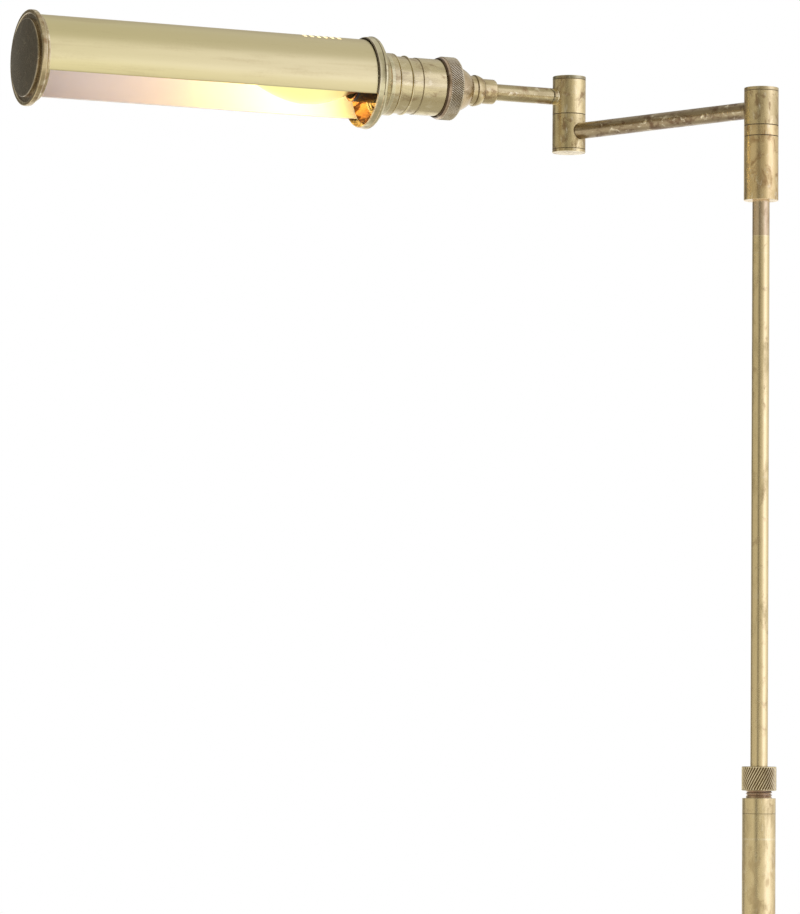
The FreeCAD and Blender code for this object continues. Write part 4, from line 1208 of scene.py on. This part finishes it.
def slot_cutter(place):
    """Round-ended slot across the shade's top, as a strip in angle.

    Its half width is w / 2, and towards its ends (w / 2) cos a where it reaches (w / 2) sin a on.
    """
    turn = np.radians(np.array([86.0, 75.0, 60.0, 45.0, 30.0, 15.0, 0.0]))
    half_span = math.radians(slot_half_span)
    end_angle = half_span + slot_width / 2 * np.sin(turn) / shade_radius
    end_width = slot_width / 2 * np.cos(turn)
    middle = np.linspace(-half_span, half_span, 33)[1:-1]
    angle = slot_middle + np.concatenate([-end_angle, middle, end_angle[::-1]])
    width = np.concatenate([end_width, np.full(middle.size, slot_width / 2), end_width[::-1]])
    low = np.full(angle.size, shade_bore - 1.5)
    high = np.full(angle.size, shade_radius + 1.5)
    points = round_axis(
        head, np.stack([angle] * 4, 1), np.stack([low, low, high, high], 1),
        place + np.stack([-width, width, width, -width], 1))
    return points, angle.size


slot_points, slot_faces = [], []
for k in range(slot_count):
    points, rows = slot_cutter(slot_first + k * slot_pitch)
    first = k * rows * 4
    slot_points.append(points.reshape(-1, 3))
    slot_faces += [[first + corner for corner in face] for face in ribbon(rows, 4, True)]
cut_out(shade, meshed("slot_cutter", np.concatenate(slot_points), slot_faces))


def satin_brass(name, axis, near, far, turn_start, turn_end):
    """Pale satin brass brushed lengthwise, its colour turning from near to far on the way."""
    tree = Tree(bpy.data.materials.new(name))
    lines = noise(tree, axis, (80.0, 0.7), 2.0)
    clouds = noise(tree, axis, (75.0, 7.0), 4.0, 0.55, 0.4)
    specks = noise(tree, axis, (2.2, 1.6), 3.0, 0.7)
    colour = tree.mix(tree.step(place_along(tree, axis), turn_start, turn_end), near, far)
    dulled = tree.step(clouds + 0.25 * (specks - 0.5) + 0.25 * (lines - 0.5), 0.50, 0.78)
    colour = tree.mix(dulled * 0.5, colour, (0.54, 0.445, 0.23))
    return finished(tree, lines + 0.3 * specks, 0.06, {
        "Base Color": colour, "Metallic": 1.0, "Roughness": 0.30 + 0.06 * clouds + 0.06 * dulled,
        "Coat Weight": 0.1, "Coat Roughness": 0.3})


def enamel(name, axis):
    """Off-white heat-proof enamel with a faint orange-peel."""
    tree = Tree(bpy.data.materials.new(name))
    clouds = noise(tree, axis, (40.0, 15.0), 3.0)
    peel = noise(tree, axis, (1.5, 1.5), 1.0)
    return finished(tree, peel, 0.08, {
        "Base Color": tree.mix(clouds, (0.93, 0.85, 0.83), (0.91, 0.825, 0.79)),
        "Roughness": 0.42 + 0.08 * clouds})


def enamel_and_painted_light_faces(across, along, outward, forward, angle):
    """The shade's inner side, and the slots' cut faces, which the enamel paints bright as painted
    light.
    """
    slots_middle = slot_first + (slot_count - 1) / 2 * slot_pitch
    slots_half = 18
    # Painted light: the slots' cut faces get the white enamel so that they read bright.
    in_slots = (outward < 0.5) & (angle > 30) & (np.abs(along - slots_middle) < slots_half)
    return ((outward < -0.2) & (across < wall_middle)) | in_slots


fit(shade, "head", "shade_brass", satin_brass(
    "shade_satin", head, (0.655, 0.565, 0.310), (0.65, 0.565, 0.29), shade_start + 60,
    shade_end - 20), "shade_tube")
finish_faces(shade, head, enamel("shade_enamel", head), enamel_and_painted_light_faces)

# ---- End cap ------------------------
# Spun brass cap with a rolled bead round it and a raised disc, browned by age. It is a push fit,
# its skirt inside the shade's far end.

_, cap_end, cap_bead_radius = extent("end_cap", head)
cap_face = shade_end + 3.15
cap_bead_low = cap_face - 4.2
cap_fall = cap_bead_low - 2.8
cap_recess = cap_face - 1.0
cap_disc_radius = 29.4
cap_plate = 1.2
cap_skirt_bore = shade_bore - cap_plate
cap_skirt_end = shade_end - 5.0
disc_round = 0.8
disc_spring = cap_disc_radius - disc_round
cap = turned("end_cap_spinning", head, [
    (0, cap_end - cap_plate),
    (disc_spring - cap_plate, cap_end - cap_plate),
    (disc_spring - cap_plate, cap_recess - cap_plate),
    (cap_skirt_bore, cap_recess - cap_plate),
    (cap_skirt_bore, cap_skirt_end),
    (shade_bore, cap_skirt_end),
    (shade_bore, shade_end),
    (shade_radius, shade_end),
    bow((shade_radius, cap_fall), (shade_radius + 0.8, cap_fall + 2.1),
        (cap_bead_radius, cap_bead_low + 0.6)),
    arc(cap_bead_radius - 0.9, cap_face - 0.9, 0.9, 0, 90, 7),
    (shade_radius + 0.4, cap_face),
    (shade_radius - 0.2, cap_recess),
    (cap_disc_radius, cap_recess),
    arc(disc_spring, cap_end - disc_round, disc_round, 0, 90, 7),
    (0, cap_end)], edge=0.25, columns=160)
fit(cap, "head", "aged_brass", aged_brass(
    "end_cap_brass", head, 0.9, bright=(0.50, 0.40, 0.225), dull=(0.38, 0.295, 0.15)), "end_cap")


def groove_faces(across, along, *_):
    """The cap's groove between its bead and its disc, finished dark."""
    return ((across > cap_disc_radius) & (across < shade_radius + 0.5)
            & (along > cap_recess - 0.2))


finish_faces(cap, head, aged_brass(
    "end_cap_groove_brass", head, 0.6, bright=(0.30, 0.24, 0.15), dull=(0.18, 0.13, 0.07),
    deep=grime, grain=6.0), groove_faces)
finish_faces(cap, head, aged_brass(
    "end_cap_disc_brass", head, 0.4, bright=(0.27, 0.225, 0.15), dull=(0.21, 0.165, 0.105),
    deep=grime, grain=6.0),
    lambda across, along, outward, forward, angle: (across <= cap_disc_radius) & (forward > 0.2))

# ---- Lampholder and bulb ------------------------
# Black moulded holder whose skirt's mouth is painted copper as a highlight of the bulb's light, and
# a frosted candle bulb in it. The bulb lights the shade's enamel and the cup.

skirt_start, skirt_end, skirt_radius = extent("lampholder_skirt", head)
skirt_bore = skirt_radius - 1.9
mouth = skirt_end - 1.3
skirt = turned("holder_skirt", head, [
    (skirt_bore, skirt_start),
    (skirt_radius, skirt_start),
    (skirt_radius, mouth - 0.5),
    (skirt_radius - 0.45, mouth - 0.25),
    (skirt_radius - 0.45, mouth),
    arc(skirt_radius - 0.55, (mouth + skirt_end) / 2, 0.5, -70, 70, 7),
    (skirt_bore, skirt_end)], edge=0.2)
phenolic = plain_finish(
    "black_phenolic", (0.010, 0.008, 0.007), (0.020, 0.015, 0.012), size=5.0, metallic=0.0,
    roughness=0.36, spread=0.15, bump=0.15)
fit(skirt, "head", "black_phenolic", phenolic, "lampholder_skirt")
# Painted highlight: the polished copper finish on the skirt's mouth stands in for the bulb light
# that it catches.
finish_faces(
    skirt, head, polished_brass("mouth_painted_highlight", head), lambda across, along, *_: along > mouth)
dress(phenolic, "lampholder_body")

bulb_start, bulb_end, bulb_radius = extent("bulb_glass", head)
bulb_neck = 8.8

# the glass's radius squared is a polynomial in its share of the length, through six girths
girth_share = np.array([0.0, 0.17, 0.38, 0.62, 0.86, 1.0])
girth = bulb_radius * np.array([bulb_neck / bulb_radius, 0.76, 1.0, 0.88, 0.42, 0.0])
girth_curve = np.polyfit(girth_share, girth ** 2, 5)
bulb_share = 1 - np.linspace(1, 0, 48)[:-1] ** 1.5
bulb_curve = np.sqrt(np.clip(np.polyval(girth_curve, bulb_share), 1e-4, bulb_radius ** 2))
bulb = turned("candle_bulb", head, [
    (0, bulb_start),
    np.stack([bulb_curve, bulb_start + bulb_share * (bulb_end - bulb_start)], 1),
    (0, bulb_end)], edge=0.1, columns=64)


def lit_glass(name, axis, neck_end):
    """Frosted glass that glows yellow and is dark at its neck.

    It throws far stronger and warmer light on the matt walls round it than it shows to the eye,
    because a picture cuts its brightness off.
    """
    tree = Tree(bpy.data.materials.new(name))
    clouds = noise(tree, axis, (18.0, 12.0), 2.0)
    along = place_along(tree, axis)
    edge = tree.add("LayerWeight", {}, {"Blend": 0.35})["Facing"]
    glow = tree.mix(edge, (1.0, 0.95, 0.33), (1.0, 0.92, 0.48))
    glow = tree.mix(tree.step(clouds, 0.3, 0.7) * 0.3, glow, (1.0, 0.97, 0.40))
    glow = tree.mix(tree.step(along, neck_end + 22.0, neck_end) * 0.8, glow, (1.0, 0.74, 0.26))
    glow = tree.mix(tree.step(along, neck_end, neck_end - 7.0), glow, (0.20, 0.075, 0.02))
    seen = tree.add("BsdfPrincipled", {}, {
        "Base Color": (0.02, 0.02, 0.02), "Roughness": 0.4, "Emission Color": glow,
        "Emission Strength": 1.0})
    thrown = tree.add("Emission", {}, {"Color": (1.0, 0.77, 0.25), "Strength": 7.0})
    rays = tree.add("LightPath")
    looked_at = tree.add("Math", {"operation": "MAXIMUM"}, {
        0: rays["Is Camera Ray"], 1: rays["Is Glossy Ray"]})
    surface = tree.add("MixShader", {}, {0: looked_at, 1: thrown, 2: seen})
    tree.add("OutputMaterial", {}, {"Surface": surface})
    return tree.owner


fit(bulb, "head", "bulb_glass", lit_glass("lit_bulb", head, bulb_start + 14.0), "bulb_glass")
